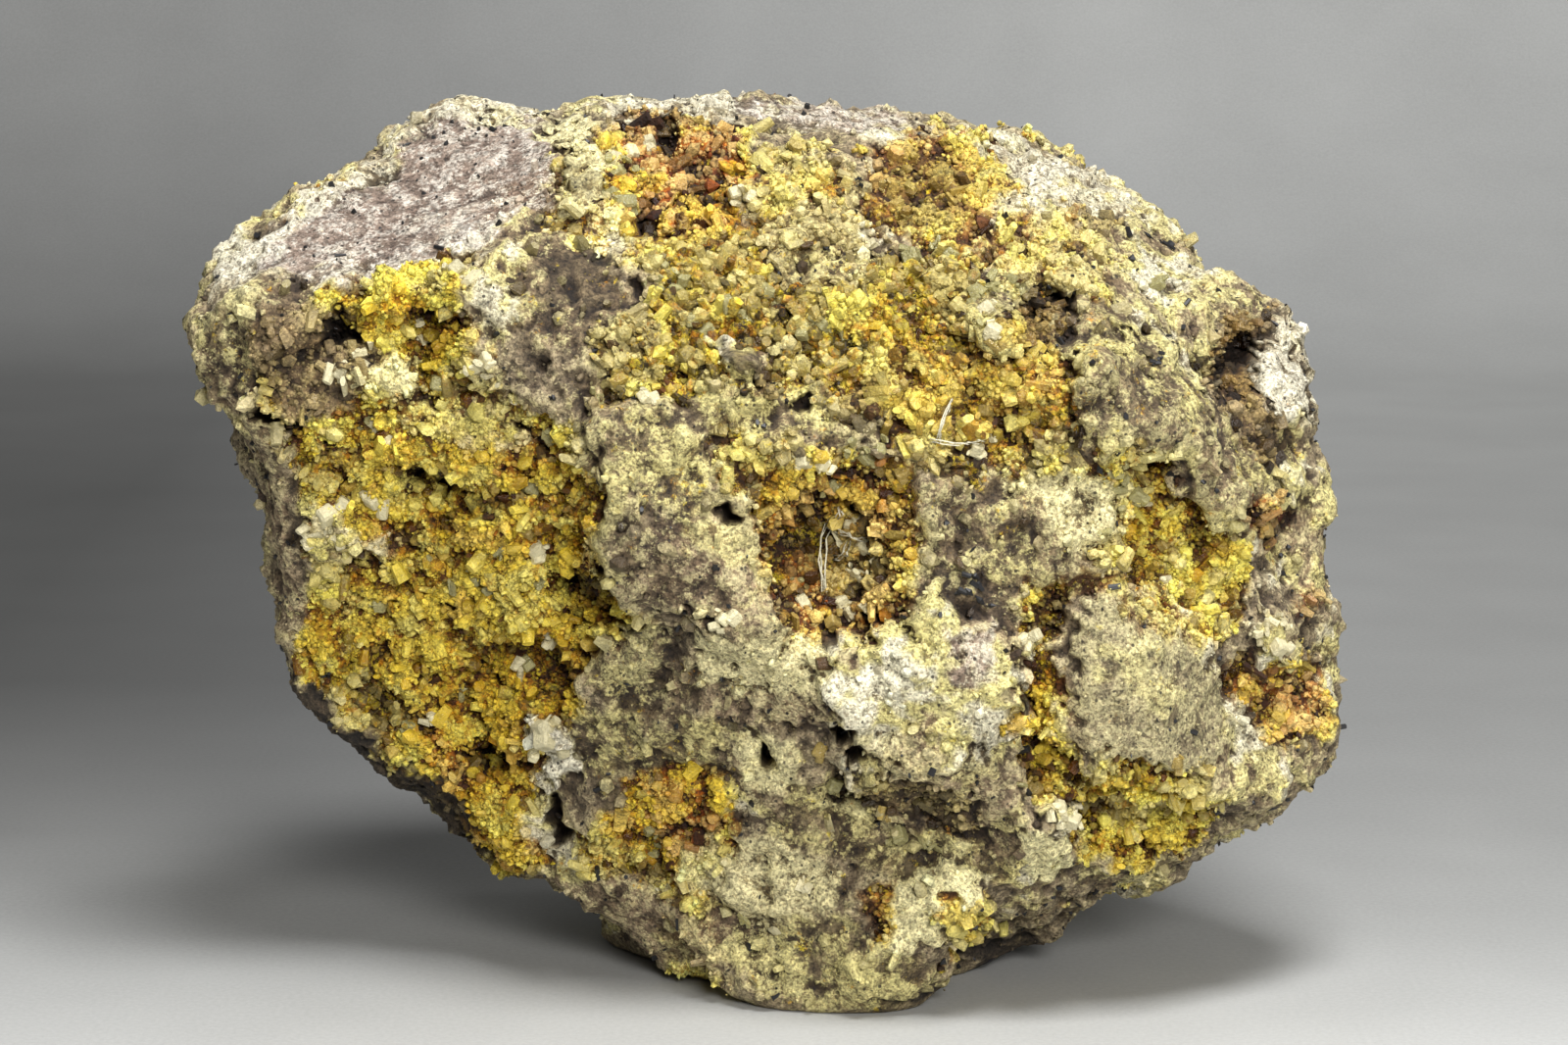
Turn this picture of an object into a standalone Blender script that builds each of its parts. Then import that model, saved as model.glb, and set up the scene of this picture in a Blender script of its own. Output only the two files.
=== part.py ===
"""A hand specimen of clinoptilolite on altered tuff, standing on its broken foot.

The tuff is one solid: a slab inside one outline, cleaved by the blows that freed it, with
hollows sunk into its front and plates left standing. Each hollow is lined by a crust of
fused crystals, a solid of its own that stays clear of the tuff by a narrow gap.
The front is -Y and up is +Z. The origin is the middle of the box's underside.
"""

import math
import random

import bmesh
import bpy
import numpy as np
from mathutils import Matrix, Vector, noise
from mathutils.bvhtree import BVHTree

MM = 0.001

# Driving dimensions, in millimetres.
FRONT_Y, BACK_Y = -31.0, 33.0  # the slab before it is cleaved
GRAIN = 1.15  # voxel of the rock's surface
FACETS = 3100  # triangles kept on the tuff
BACK_ROUGHER = 1.3  # how much rougher than the front the back is broken
GAP = 0.45  # between the tuff and a crust, straight out of the front
CRUST = 1.3  # how far a crust's bed stands over the tuff
BED_GRAIN = 2.3  # spacing of the points of a crust's bed
BED_MARGIN = 2.2  # how far the bed runs on inside the rock past the hollow's outline
LUMP_SIZE = 2.6  # width of a lump in the crust
CROWDING = 0.95  # least spacing of crystals, as a share of the greatest one's length
AROUND = ((0.0, 0.0), (0.6, 0.0), (-0.6, 0.0), (0.0, 0.6), (0.0, -0.6))  # what a point covers
SEED = 7

# Outline of the rock from the front, (x, z), clockwise from the left tip.
OUTLINE = [
    (-55.0, 58.4), (-54.2, 61.8), (-47.4, 62.8), (-44.2, 66.4), (-43.4, 68.0), (-38.8, 70.8),
    (-35.4, 72.1), (-34.2, 73.9), (-29.6, 77.1), (-23.3, 77.4), (-21.0, 76.4), (-15.3, 77.4),
    (-8.8, 76.4), (-1.8, 76.6), (7.0, 75.3), (12.6, 75.3), (15.9, 73.4), (19.7, 73.0),
    (25.4, 71.8), (30.0, 69.8), (34.6, 68.0), (35.0, 66.2), (36.4, 63.0), (39.0, 61.8),
    (43.0, 59.6), (45.8, 56.8), (47.4, 53.4), (46.5, 48.0), (47.6, 43.1), (47.4, 38.2),
    (48.6, 34.6), (48.7, 30.2), (49.5, 25.0), (48.6, 20.9), (44.4, 17.1), (40.6, 13.3),
    (36.3, 10.2), (34.4, 8.1), (29.2, 7.3), (27.6, 5.6), (26.0, 4.4), (24.0, 2.2), (20.0, 1.2),
    (16.6, 0.0), (12.6, -4.0), (-15.2, -4.0), (-16.2, 8.2), (-19.6, 7.8), (-21.8, 8.4),
    (-24.5, 8.3), (-26.9, 9.6), (-28.5, 11.8), (-31.0, 13.4), (-33.4, 14.6), (-35.6, 17.4),
    (-39.3, 20.6), (-41.3, 24.0), (-42.4, 27.2), (-42.6, 31.0), (-43.3, 36.3), (-44.9, 45.0),
    (-48.0, 51.5), (-50.6, 56.0),
]

# Broken faces: each plane goes through three points and keeps the side of the rock's heart.
HEART = (0.0, 2.0, 42.0)
CLEAVAGE = {
    "front": ((-13.0, -27.0, 42.0), (20.0, -26.5, 46.0), (5.0, -28.5, 15.0)),
    "left field": ((-15.0, -26.0, 45.0), (-40.0, -19.0, 42.0), (-28.0, -21.0, 22.0)),
    "upper left break": ((-38.0, -18.0, 63.4), (-24.8, -20.5, 66.0), (-29.5, 6.0, 77.8)),
    "top lean": ((-16.0, -20.5, 66.0), (16.0, -21.5, 62.5), (0.0, -12.0, 71.5)),
    "top shoulder": ((-12.0, -10.0, 72.8), (14.0, -10.0, 71.5), (0.0, 8.0, 77.4)),
    "upper right shoulder": ((22.0, -20.0, 66.0), (36.5, 3.0, 64.5), (26.0, 12.0, 72.6)),
    "right shoulder": ((30.0, -22.0, 58.0), (47.6, -8.0, 53.0), (41.7, -4.0, 61.7)),
    "right side": ((33.0, -24.5, 38.0), (48.7, -10.0, 38.0), (49.8, -9.5, 25.0)),
    "lower right": ((24.0, -24.0, 17.0), (39.6, -9.0, 12.6), (34.4, -6.0, 8.0)),
    "right underside": ((10.8, -24.5, 0.0), (27.0, -11.0, 1.8), (24.0, 6.0, -1.0)),
    "foot front": ((-11.0, -26.0, 13.0), (18.0, -25.5, 11.0), (6.0, -24.8, 0.0)),
    "left side": ((-40.8, -17.0, 42.0), (-45.0, -8.0, 45.0), (-43.2, -8.0, 33.0)),
    "left end": ((-54.4, -16.5, 59.0), (-41.8, -22.6, 61.0), (-51.4, -14.5, 52.0)),
    "lower left edge": ((-30.0, -20.0, 24.0), (-20.0, -20.5, 12.0), (-41.5, -12.0, 29.0)),
    "lower left underside": ((-42.2, -10.0, 27.8), (-16.0, -13.0, 8.8), (-30.7, 3.0, 13.4)),
    "foot left undercut": ((-15.4, -13.6, 6.8), (5.6, -24.5, 0.0), (-15.6, 5.0, 0.0)),
    "back": ((-20.0, 28.0, 40.0), (18.0, 29.2, 36.0), (0.0, 26.5, 66.0)),
    "back top": ((-24.0, 8.0, 78.0), (16.0, 14.0, 76.0), (0.0, 27.0, 62.0)),
    "back upper left": ((-54.5, -5.0, 64.0), (-30.0, 8.0, 77.4), (-30.0, 25.0, 58.0)),
    "back left": ((-53.0, -7.0, 60.0), (-43.2, 1.0, 32.0), (-26.0, 24.5, 42.0)),
    "back lower left": ((-41.5, 3.0, 23.0), (-26.0, 5.0, 9.0), (-22.0, 24.0, 24.0)),
    "back foot": ((-14.0, 18.0, 0.0), (16.0, 17.0, 0.0), (2.0, 29.5, 22.0)),
    "back upper right": ((35.7, 11.0, 68.4), (47.4, -3.0, 55.0), (24.0, 27.0, 56.0)),
    "back right": ((48.3, -3.0, 45.0), (50.1, -3.5, 25.0), (27.0, 27.0, 36.0)),
    "back lower right": ((49.2, -3.0, 21.0), (34.4, 0.0, 8.4), (24.0, 24.0, 20.0)),
    "right foot": ((34.2, -1.0, 8.2), (22.0, 6.0, 0.0), (18.0, 20.0, 3.0)),
}

# Blunt points that stand out past the broken faces, each the hull of its corners.
POINTS = {
    "left point": [
        (-50.2, -16.0, 59.4), (-49.6, -15.0, 61.8), (-43.4, -20.5, 49.0), (-40.0, -22.0, 62.0),
        (-45.6, 2.0, 47.0), (-49.0, -4.0, 63.0), (-36.0, -18.0, 56.0), (-38.0, 4.0, 60.0)],
    "toe": [
        (3.4, -18.8, -2.0), (5.4, -19.2, -2.0), (10.6, -16.6, -2.0), (-1.0, -14.0, -2.0),
        (12.0, -9.0, -2.0), (-2.0, -19.2, 8.0), (11.0, -22.0, 8.5), (4.0, -10.0, 12.0),
        (-7.5, -15.2, 4.2), (-11.0, -12.8, 9.0), (-1.5, -19.6, 16.0), (10.0, -21.4, 15.0),
        (17.0, -17.6, 4.6)],
}

# Hollows that crusts line, as outlines from the front, (x, z).
HOLLOWS = {
    "left_druse": [
        (-43.1, 58.3), (-39.9, 61.0), (-31.7, 62.2), (-26.5, 64.6), (-24.4, 63.1), (-23.9, 58.7),
        (-20.4, 56.0), (-15.8, 55.3), (-15.2, 50.8), (-14.2, 47.1), (-15.3, 42.5), (-14.6, 37.2),
        (-12.0, 33.8), (-13.6, 31.0), (-16.2, 27.2), (-19.7, 24.8), (-20.0, 21.0), (-18.6, 17.8),
        (-19.0, 13.6), (-22.4, 14.8), (-26.5, 18.0), (-30.2, 23.0), (-33.8, 26.4), (-39.5, 29.4),
        (-40.6, 32.6), (-40.4, 38.4), (-40.3, 45.5), (-39.9, 50.4), (-41.6, 54.2),
    ],
    "rusty_druse": [
        (-13.6, 73.0), (-12.1, 75.0), (-8.0, 75.6), (-3.6, 74.9), (-2.0, 73.2), (-2.1, 71.0),
        (-3.9, 69.0), (-6.8, 67.4), (-10.6, 66.9), (-12.8, 69.0),
    ],
    "middle_druse": [
        (-13.0, 67.2), (-10.6, 65.2), (-6.8, 65.8), (-3.4, 66.6), (-2.6, 64.6), (0.5, 62.2),
        (7.4, 62.8), (9.5, 66.0), (7.6, 70.0), (9.0, 73.2), (13.6, 73.6), (17.4, 72.6),
        (18.6, 70.2), (17.6, 67.6), (19.6, 65.0), (24.4, 62.2), (24.8, 58.7), (23.4, 55.8),
        (25.4, 53.3), (23.5, 50.5), (19.8, 48.1), (16.1, 45.8), (12.0, 46.0), (9.2, 47.8),
        (5.2, 49.9), (4.2, 51.8), (0.9, 53.6), (-4.4, 53.4), (-10.6, 53.9), (-13.2, 56.0),
        (-9.8, 59.2), (-9.4, 62.5),
    ],
    "vug_druse": [
        (0.9, 47.8), (4.6, 48.2), (8.6, 46.6), (11.2, 43.8), (10.9, 38.4), (9.5, 34.2),
        (7.3, 32.7), (4.0, 32.3), (1.4, 33.3), (-0.1, 37.2), (-0.3, 41.4),
    ],
    "right_druse": [
        (26.6, 40.6), (29.6, 45.4), (28.8, 49.9), (30.9, 50.9), (33.5, 48.3), (35.2, 45.3),
        (37.6, 42.8), (37.4, 39.2), (39.0, 35.9), (37.6, 33.1), (34.4, 33.5), (31.9, 36.3),
        (28.3, 37.4),
    ],
    "channel_druse": [
        (22.3, 36.7), (25.4, 37.4), (26.9, 35.8), (24.8, 34.4), (24.2, 29.6), (25.6, 25.0),
        (27.0, 21.9), (30.0, 20.5), (33.3, 21.6), (37.8, 21.2), (37.6, 18.2), (34.0, 14.8),
        (30.9, 13.2), (26.5, 13.8), (24.9, 17.3), (22.5, 20.3), (19.8, 21.6), (19.0, 25.0),
        (20.4, 28.8), (20.7, 33.0),
    ],
    "lower_druse": [
        (-16.4, 16.1), (-12.4, 20.3), (-8.2, 20.8), (-3.7, 19.5), (-3.1, 16.1), (-4.5, 13.5),
        (-8.3, 12.7), (-11.6, 12.1), (-14.9, 13.7),
    ],
    "rim_druse": [
        (35.1, 57.9), (37.7, 58.8), (40.2, 57.9), (39.8, 54.9), (41.7, 52.0), (42.2, 48.4),
        (40.6, 45.6), (38.2, 48.9), (36.9, 52.5), (34.9, 54.9),
    ],
    "edge_druse": [
        (39.6, 29.6), (42.2, 31.7), (45.0, 31.2), (45.8, 28.8), (45.3, 25.8), (42.4, 24.7),
        (40.0, 26.7),
    ],
}

# How far each of those hollows sinks into the front, and the width of its sloping rim.
SINKS = {
    "left_druse": (3.4, 3.5), "rusty_druse": (3.6, 2.4), "middle_druse": (1.8, 2.6),
    "vug_druse": (4.4, 2.6), "right_druse": (3.6, 1.8), "channel_druse": (4.6, 1.9),
    "lower_druse": (1.8, 1.8), "rim_druse": (3.8, 1.8), "edge_druse": (1.5, 1.4),
}

# Plates that stand over the front, as outlines, and the slack ground under the lower one.
PLATES = {
    "middle plate": (1.4, 1.2, [
        (-14.6, 53.4), (-7.3, 53.2), (0.1, 53.0), (3.9, 51.6), (3.6, 50.0), (0.3, 48.0),
        (-0.9, 43.8), (-0.9, 37.2), (0.4, 33.0), (-4.1, 33.8), (-11.1, 33.8), (-13.5, 35.8),
        (-15.3, 38.8), (-15.2, 43.8), (-13.7, 47.1), (-15.3, 50.4)]),
    "lower plate": (1.7, 1.2, [
        (4.8, 25.0), (3.8, 28.6), (7.5, 31.4), (14.1, 34.6), (20.2, 33.8), (20.2, 29.0),
        (18.8, 24.8), (17.3, 21.8), (12.5, 21.0), (8.8, 21.1)]),
    "upper right plate": (1.3, 1.3, [
        (25.5, 57.0), (30.5, 57.5), (34.0, 54.0), (36.5, 50.5), (38.5, 47.0), (43.8, 44.8),
        (42.5, 43.4), (39.0, 43.2), (36.8, 44.4), (34.8, 46.8), (33.0, 49.5), (30.2, 52.0),
        (26.8, 51.0), (25.6, 53.8)]),
    "slack under the lower plate": (-2.4, 1.6, [
        (4.6, 24.6), (8.4, 20.6), (13.4, 20.5), (17.5, 20.2), (20.6, 16.4), (17.6, 13.2),
        (11.7, 13.2), (5.9, 16.0), (2.1, 20.2)]),
}

# Lumps and dents: middle (x, z), half widths, turn in degrees and rise.
LUMPS = {
    "pit under the middle plate": ((-15.6, 36.4), (3.6, 4.6), 20, -3.0),
    "pit in the left field": ((-27.6, 44.6), (5.0, 3.2), -15, -1.8),
    "left bay": ((-36.6, 58.6), (4.2, 2.4), 10, -2.4),
    "lower pocket": ((-25.2, 23.0), (3.2, 4.2), 25, -2.0),
    "lower crevice": ((-19.2, 17.0), (1.6, 3.6), 10, -2.2),
    "left swell": ((-33.0, 52.5), (5.5, 3.6), -35, 1.6),
    "left knuckle": ((-20.6, 33.4), (3.6, 3.0), 30, 1.5),
    "white cluster": ((-36.8, 42.0), (3.0, 2.2), 30, 1.7),
    "low cluster": ((-20.6, 23.6), (2.6, 2.4), 0, 2.2),
    "cream hump": ((2.2, 68.4), (6.2, 4.8), 10, 2.4),
    "brown bay": ((13.6, 71.2), (5.6, 3.0), -8, -2.6),
    "capped lump": ((-3.0, 55.6), (3.4, 2.8), -15, 2.2),
    "crystal arch": ((18.6, 60.2), (2.8, 3.6), 20, 2.0),
    "arch hollow": ((22.4, 59.6), (2.4, 3.4), 10, -3.2),
    "mid ridge": ((24.0, 54.6), (5.2, 2.2), 35, 1.6),
    "pale knob": ((43.6, 53.8), (3.4, 4.2), 15, 2.2),
    "rim pit": ((39.2, 56.4), (2.8, 3.0), 0, -2.6),
    "edge lump": ((41.6, 33.6), (2.6, 2.4), 0, 1.7),
    "channel block": ((22.0, 33.2), (1.7, 1.7), 0, 2.2),
    "channel end": ((28.0, 19.8), (3.0, 2.6), 0, -1.6),
    "white block": ((22.4, 16.2), (2.9, 4.4), -15, 1.8),
    "lower ledge": ((17.5, 10.0), (6.0, 3.6), 15, 1.3),
    "foot dent": ((-4.0, 8.0), (7.0, 3.0), -20, -1.2),
    "lower swell": ((-5.0, 25.5), (7.5, 3.0), -15, 1.2),
    "left crevice": ((-45.0, 50.6), (3.4, 1.3), 10, -2.4),
    "cream rib": ((-16.5, 70.0), (2.0, 5.0), -14, 1.6),
    "break bowl": ((-27.0, 68.5), (11.0, 5.0), 20, -1.4),
}

# Each crust's crystals: how many, and their least and greatest length.
CRYSTALS = {
    "left_druse": (35, 2.4, 4.4), "rusty_druse": (6, 2.2, 3.0), "middle_druse": (30, 2.4, 3.8),
    "vug_druse": (10, 2.2, 3.4), "right_druse": (7, 2.2, 3.0), "channel_druse": (10, 2.2, 3.4),
    "lower_druse": (5, 2.0, 2.6), "rim_druse": (5, 2.0, 3.0), "edge_druse": (3, 1.8, 2.4),
}

# Base colour, roughness and metallic value of each finish.
FINISHES = {
    "altered_tuff": ((0.56, 0.50, 0.44), 0.9, 0.0),
    "yellow_druse": ((0.74, 0.60, 0.18), 0.55, 0.0),
    "ochre_druse": ((0.62, 0.38, 0.08), 0.6, 0.0),
    "rust_druse": ((0.42, 0.18, 0.05), 0.65, 0.0),
}
CRUST_FINISH = {
    "left_druse": "yellow_druse", "middle_druse": "yellow_druse", "right_druse": "yellow_druse",
    "channel_druse": "ochre_druse", "lower_druse": "ochre_druse", "rim_druse": "ochre_druse",
    "rusty_druse": "rust_druse", "vug_druse": "ochre_druse", "edge_druse": "rust_druse",
}


def clear_scene():
    for obj in list(bpy.data.objects):
        bpy.data.objects.remove(obj)


def collection(name):
    made = bpy.data.collections.new(name)
    bpy.context.scene.collection.children.link(made)
    return made


def finish(name):
    colour, roughness, metallic = FINISHES[name]
    material = bpy.data.materials.get(name) or bpy.data.materials.new(name)
    material.use_nodes = True
    shader = material.node_tree.nodes["Principled BSDF"]
    shader.inputs["Base Color"].default_value = (*colour, 1.0)
    shader.inputs["Roughness"].default_value = roughness
    shader.inputs["Metallic"].default_value = metallic
    return material


def add_object(name, mesh, group):
    obj = bpy.data.objects.new(name, mesh)
    group.objects.link(obj)
    return obj


def wire(obj):
    """Marks a cutter or guide: in the scene, but not a piece of the specimen."""
    obj.hide_render = True
    obj.display_type = "WIRE"
    return obj


def helper(name, bm, group):
    mesh = bpy.data.meshes.new(name)
    bm.to_mesh(mesh)
    bm.free()
    return wire(add_object(name, mesh, group))


def evaluated_mesh(obj):
    """The object's mesh with its modifiers applied."""
    graph = bpy.context.evaluated_depsgraph_get()
    graph.update()
    return bpy.data.meshes.new_from_object(obj.evaluated_get(graph))


def slab(outline, y_front, y_back):
    """A bmesh block: the outline extruded along Y."""
    bm = bmesh.new()
    face = bm.faces.new([bm.verts.new((x * MM, y_front * MM, z * MM)) for x, z in outline])
    extruded = bmesh.ops.extrude_face_region(bm, geom=[face])["geom"]
    back = [v for v in extruded if isinstance(v, bmesh.types.BMVert)]
    bmesh.ops.translate(bm, vec=(0.0, (y_back - y_front) * MM, 0.0), verts=back)
    return in_order(bm)


def in_order(bm):
    """The same solid with its corners and faces in one fixed order, so that each run agrees."""
    places = sorted({tuple(v.co) for v in bm.verts})
    rank = {place: index for index, place in enumerate(places)}
    loops = []
    for face in bm.faces:
        ranks = [rank[tuple(v.co)] for v in face.verts]
        first = ranks.index(min(ranks))
        loops.append(ranks[first:] + ranks[:first])
    bm.clear()
    verts = [bm.verts.new(place) for place in places]
    for ranks in sorted(loops):
        bm.faces.new([verts[index] for index in ranks])
    bmesh.ops.recalc_face_normals(bm, faces=bm.faces)
    return bm


def cleave(bm, point, normal):
    """Takes off what lies on the normal's side of the plane, and closes the cut."""
    geom = bm.verts[:] + bm.edges[:] + bm.faces[:]
    bmesh.ops.bisect_plane(bm, geom=geom, dist=1e-7, plane_co=point, plane_no=normal, clear_outer=True)
    bmesh.ops.holes_fill(bm, edges=[e for e in bm.edges if e.is_boundary], sides=0)
    in_order(bm)


def cleave_all(bm):
    heart = Vector(HEART)
    for corners in CLEAVAGE.values():
        a, b, c = (Vector(p) for p in corners)
        normal = (b - a).cross(c - a).normalized()
        if normal.dot(heart - a) > 0:
            normal.negate()
        cleave(bm, a * MM, normal)


def add_point(bm, corners):
    """Adds a blunt point as a hull that overlaps the block; the even skin joins the two."""
    hull = bmesh.new()
    verts = [hull.verts.new(Vector(corner) * MM) for corner in corners]
    result = bmesh.ops.convex_hull(hull, input=verts, use_existing_faces=False)
    inner = [v for v in result["geom_interior"] if isinstance(v, bmesh.types.BMVert)]
    bmesh.ops.delete(hull, geom=inner, context="VERTS")
    in_order(hull)
    copies = {v: bm.verts.new(v.co) for v in hull.verts}
    for face in hull.faces:
        bm.faces.new([copies[v] for v in face.verts])
    hull.free()


def smoothstep(low, high, value):
    t = np.clip((value - low) / (high - low), 0.0, 1.0)
    return t * t * (3.0 - 2.0 * t)


def inside_distance(points, outline):
    """Distance in from a closed outline for each (x, z) point, negative outside it."""
    start = np.array(outline, float)
    end = np.roll(start, -1, axis=0)
    run = end - start
    to_point = points[:, None, :] - start[None, :, :]
    share = np.clip((to_point * run).sum(2) / (run * run).sum(1), 0.0, 1.0)
    distance = np.linalg.norm(to_point - share[..., None] * run, axis=2).min(1)
    x, z = points[:, :1], points[:, 1:]
    crosses = (start[:, 1] > z) != (end[:, 1] > z)
    rise = np.where(run[:, 1] == 0.0, 1e-9, run[:, 1])
    crossed_at = start[:, 0] + (z - start[:, 1]) / rise * run[:, 0]
    inside = ((crosses & (x < crossed_at)).sum(1) % 2).astype(bool)
    return np.where(inside, distance, -distance)


def lump_share(points, middle, half_widths, turn):
    """How much of a lump's rise each (x, z) point takes: 1 at its middle, 0 at its rim."""
    angle = math.radians(turn)
    across = points - np.array(middle)
    along = across[:, 0] * math.cos(angle) + across[:, 1] * math.sin(angle)
    beside = across[:, 1] * math.cos(angle) - across[:, 0] * math.sin(angle)
    return smoothstep(0.0, 1.0, 1.25 - np.hypot(along / half_widths[0], beside / half_widths[1]))


def front_rise(points):
    """How far the front stands forward of its broken faces at each (x, z) point."""
    rise = np.zeros(len(points))
    for name, (depth, rim) in SINKS.items():
        rise -= depth * smoothstep(0.0, rim, inside_distance(points, HOLLOWS[name]))
    for height, rim, outline in PLATES.values():
        rise += height * smoothstep(-rim / 2, rim / 2, inside_distance(points, outline))
    for middle, half_widths, turn, height in LUMPS.values():
        rise += height * lump_share(points, middle, half_widths, turn)
    return rise


def ragged(point):
    """Height of the rough fracture at a point: broad waves, chips and grit."""
    waves = noise.fractal(point / 15.0, 1.0, 2.0, 2)
    chips = noise.voronoi(point / 5.5)[0]
    grit = noise.fractal(point / 3.0, 0.8, 2.1, 3)
    return 0.9 * waves + 0.75 * (0.5 - (chips[1] - chips[0])) + 0.3 * grit


def carve(mesh):
    """Moves the surface to its final relief: the front's forms, then the rough fracture."""
    count = len(mesh.vertices)
    places = np.empty(count * 3)
    normals = np.empty(count * 3)
    mesh.vertices.foreach_get("co", places)
    mesh.vertices.foreach_get("normal", normals)
    places = places.reshape(-1, 3) / MM
    normals = normals.reshape(-1, 3)
    faces_front = smoothstep(0.05, 0.4, -normals[:, 1])
    places[:, 1] -= faces_front * front_rise(places[:, [0, 2]])
    rough = np.array([ragged(Vector(p)) for p in places])
    rough *= 1.0 + BACK_ROUGHER * smoothstep(6.0, 20.0, places[:, 1])
    places += normals * rough[:, None]
    mesh.vertices.foreach_set("co", (places * MM).ravel())
    mesh.update()


def regrain(obj, grain):
    """Gives an object's closed mesh an even skin with cells of the grain's size."""
    remesh = obj.modifiers.new("grain", "REMESH")
    remesh.mode = "VOXEL"
    remesh.voxel_size = grain * MM
    return evaluated_mesh(obj)


def relax(mesh):
    bm = bmesh.new()
    bm.from_mesh(mesh)
    bmesh.ops.smooth_vert(bm, verts=bm.verts, factor=0.5, use_axis_x=True, use_axis_y=True, use_axis_z=True)
    bm.to_mesh(mesh)
    bm.free()


def thin_out(obj):
    """Keeps the rock's share of triangles, where its surface bends most."""
    decimate = obj.modifiers.new("facets", "DECIMATE")
    decimate.ratio = FACETS / (2.0 * len(obj.data.polygons))
    decimate.use_collapse_triangulate = True
    return evaluated_mesh(obj)


def tuff(guides):
    """The rock itself, as a closed mesh with a flat broken foot at z = 0."""
    bm = slab(OUTLINE, FRONT_Y, BACK_Y)
    cleave_all(bm)
    for corners in POINTS.values():
        add_point(bm, corners)
    block = helper("cleaved_block", bm, guides)
    mesh = regrain(block, GRAIN)
    relax(mesh)
    carve(mesh)
    rough = wire(add_object("rough_tuff", mesh, guides))
    fine = wire(add_object("even_tuff", regrain(rough, GRAIN), guides))
    bm = bmesh.new()
    bm.from_mesh(thin_out(fine))
    cleave(bm, Vector((0.0, 0.0, 0.0)), Vector((0.0, 0.0, -1.0)))
    mesh = bpy.data.meshes.new("altered_tuff")
    bm.to_mesh(mesh)
    bm.free()
    return mesh


def bed(name, surface):
    """A crust's bed as a solid that stands out of the rock inside the hollow's outline."""
    outline = np.array(HOLLOWS[name])
    low, high = outline.min(0) - BED_MARGIN, outline.max(0) + BED_MARGIN
    steps = np.ceil((high - low) / BED_GRAIN).astype(int)
    bm = bmesh.new()
    bmesh.ops.create_grid(bm, x_segments=steps[0], y_segments=steps[1], size=0.5)
    middle = (low + high) / 2
    places = np.array([(v.co.x, v.co.y) for v in bm.verts]) * (high - low) + middle
    depth = inside_distance(places, HOLLOWS[name])
    lift = CRUST * smoothstep(-0.4, 1.6, depth) - 1.4 * (1.0 - smoothstep(-1.6, 0.2, depth))
    for vertex, (x, z), rise, inward in zip(bm.verts, places, lift, depth):
        fronts = [surface_y(surface, x + right, z + up) for right, up in AROUND]
        front = min(fronts) if inward > 0.0 else max(fronts)
        lump = noise.voronoi(Vector((x, front, z)) / LUMP_SIZE)[0][0]
        vertex.co = Vector((x, front - rise * (1.25 - 0.6 * lump), z)) * MM
    outside = [f for f in bm.faces if min(depth[v.index] for v in f.verts) < -BED_MARGIN]
    bmesh.ops.delete(bm, geom=outside, context="FACES")
    deep = max(v.co.y for v in bm.verts) + 2.0 * MM
    extruded = bmesh.ops.extrude_face_region(bm, geom=bm.faces[:])["geom"]
    for vertex in extruded:
        if isinstance(vertex, bmesh.types.BMVert):
            vertex.co.y = deep
    bmesh.ops.triangulate(in_order(bm), faces=bm.faces)
    return bm


def surface_y(surface, x, z):
    """Where a line from the front at (x, z) meets the rock."""
    hit = surface.ray_cast(Vector((x, -90.0, z)) * MM, Vector((0.0, 1.0, 0.0)))[0]
    return hit.y / MM if hit else 0.0


def crystal(bm, place, normal, length, turn, sides):
    """One coffin-shaped crystal: a flat-faced tablet that narrows towards its free end."""
    cone = bmesh.ops.create_cone(
        bm, cap_ends=True, segments=sides, radius1=0.46 * length, radius2=0.34 * length, depth=length)
    verts = cone["verts"]
    bmesh.ops.scale(bm, vec=(1.0, 0.62, 1.0), verts=verts)
    bmesh.ops.rotate(bm, matrix=Matrix.Rotation(turn, 3, "Z"), verts=verts)
    aim = Vector(normal).to_track_quat("Z", "Y").to_matrix()
    bmesh.ops.rotate(bm, matrix=aim, verts=verts)
    bmesh.ops.translate(bm, vec=place, verts=verts)


def crystals(name, surface, chance):
    """The hollow's crystals, planted on its bed and leaning at random."""
    count, least, greatest = CRYSTALS[name]
    outline = np.array(HOLLOWS[name])
    low, high = outline.min(0), outline.max(0)
    bm = bmesh.new()
    planted = []
    for _ in range(count * 60):
        x, z = (chance.uniform(a, b) for a, b in zip(low, high))
        near = any(math.dist((x, z), other) < CROWDING * greatest for other in planted)
        if near or inside_distance(np.array([(x, z)]), HOLLOWS[name])[0] < 0.9:
            continue
        planted.append((x, z))
        length = chance.uniform(least, greatest)
        out = surface.ray_cast(Vector((x, -90.0, z)) * MM, Vector((0.0, 1.0, 0.0)))[1]
        tilt = Vector((chance.uniform(-0.5, 0.5), -0.6, chance.uniform(-0.4, 0.5)))
        lean = (out + tilt).normalized()
        root = Vector((x, surface_y(surface, x, z) - CRUST * 0.8, z))
        place = (root + lean * length * 0.1) * MM
        sides = 6 if length > 0.8 * greatest else 4
        crystal(bm, place, lean, length * MM, chance.uniform(0.0, math.pi), sides)
        if len(planted) == count:
            break
    return in_order(bm)


def boolean(obj, operation, operand, solver):
    modifier = obj.modifiers.new(operand.name, "BOOLEAN")
    modifier.operation = operation
    modifier.object = operand
    modifier.solver = solver
    if solver == "EXACT":
        modifier.use_self = True


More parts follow.
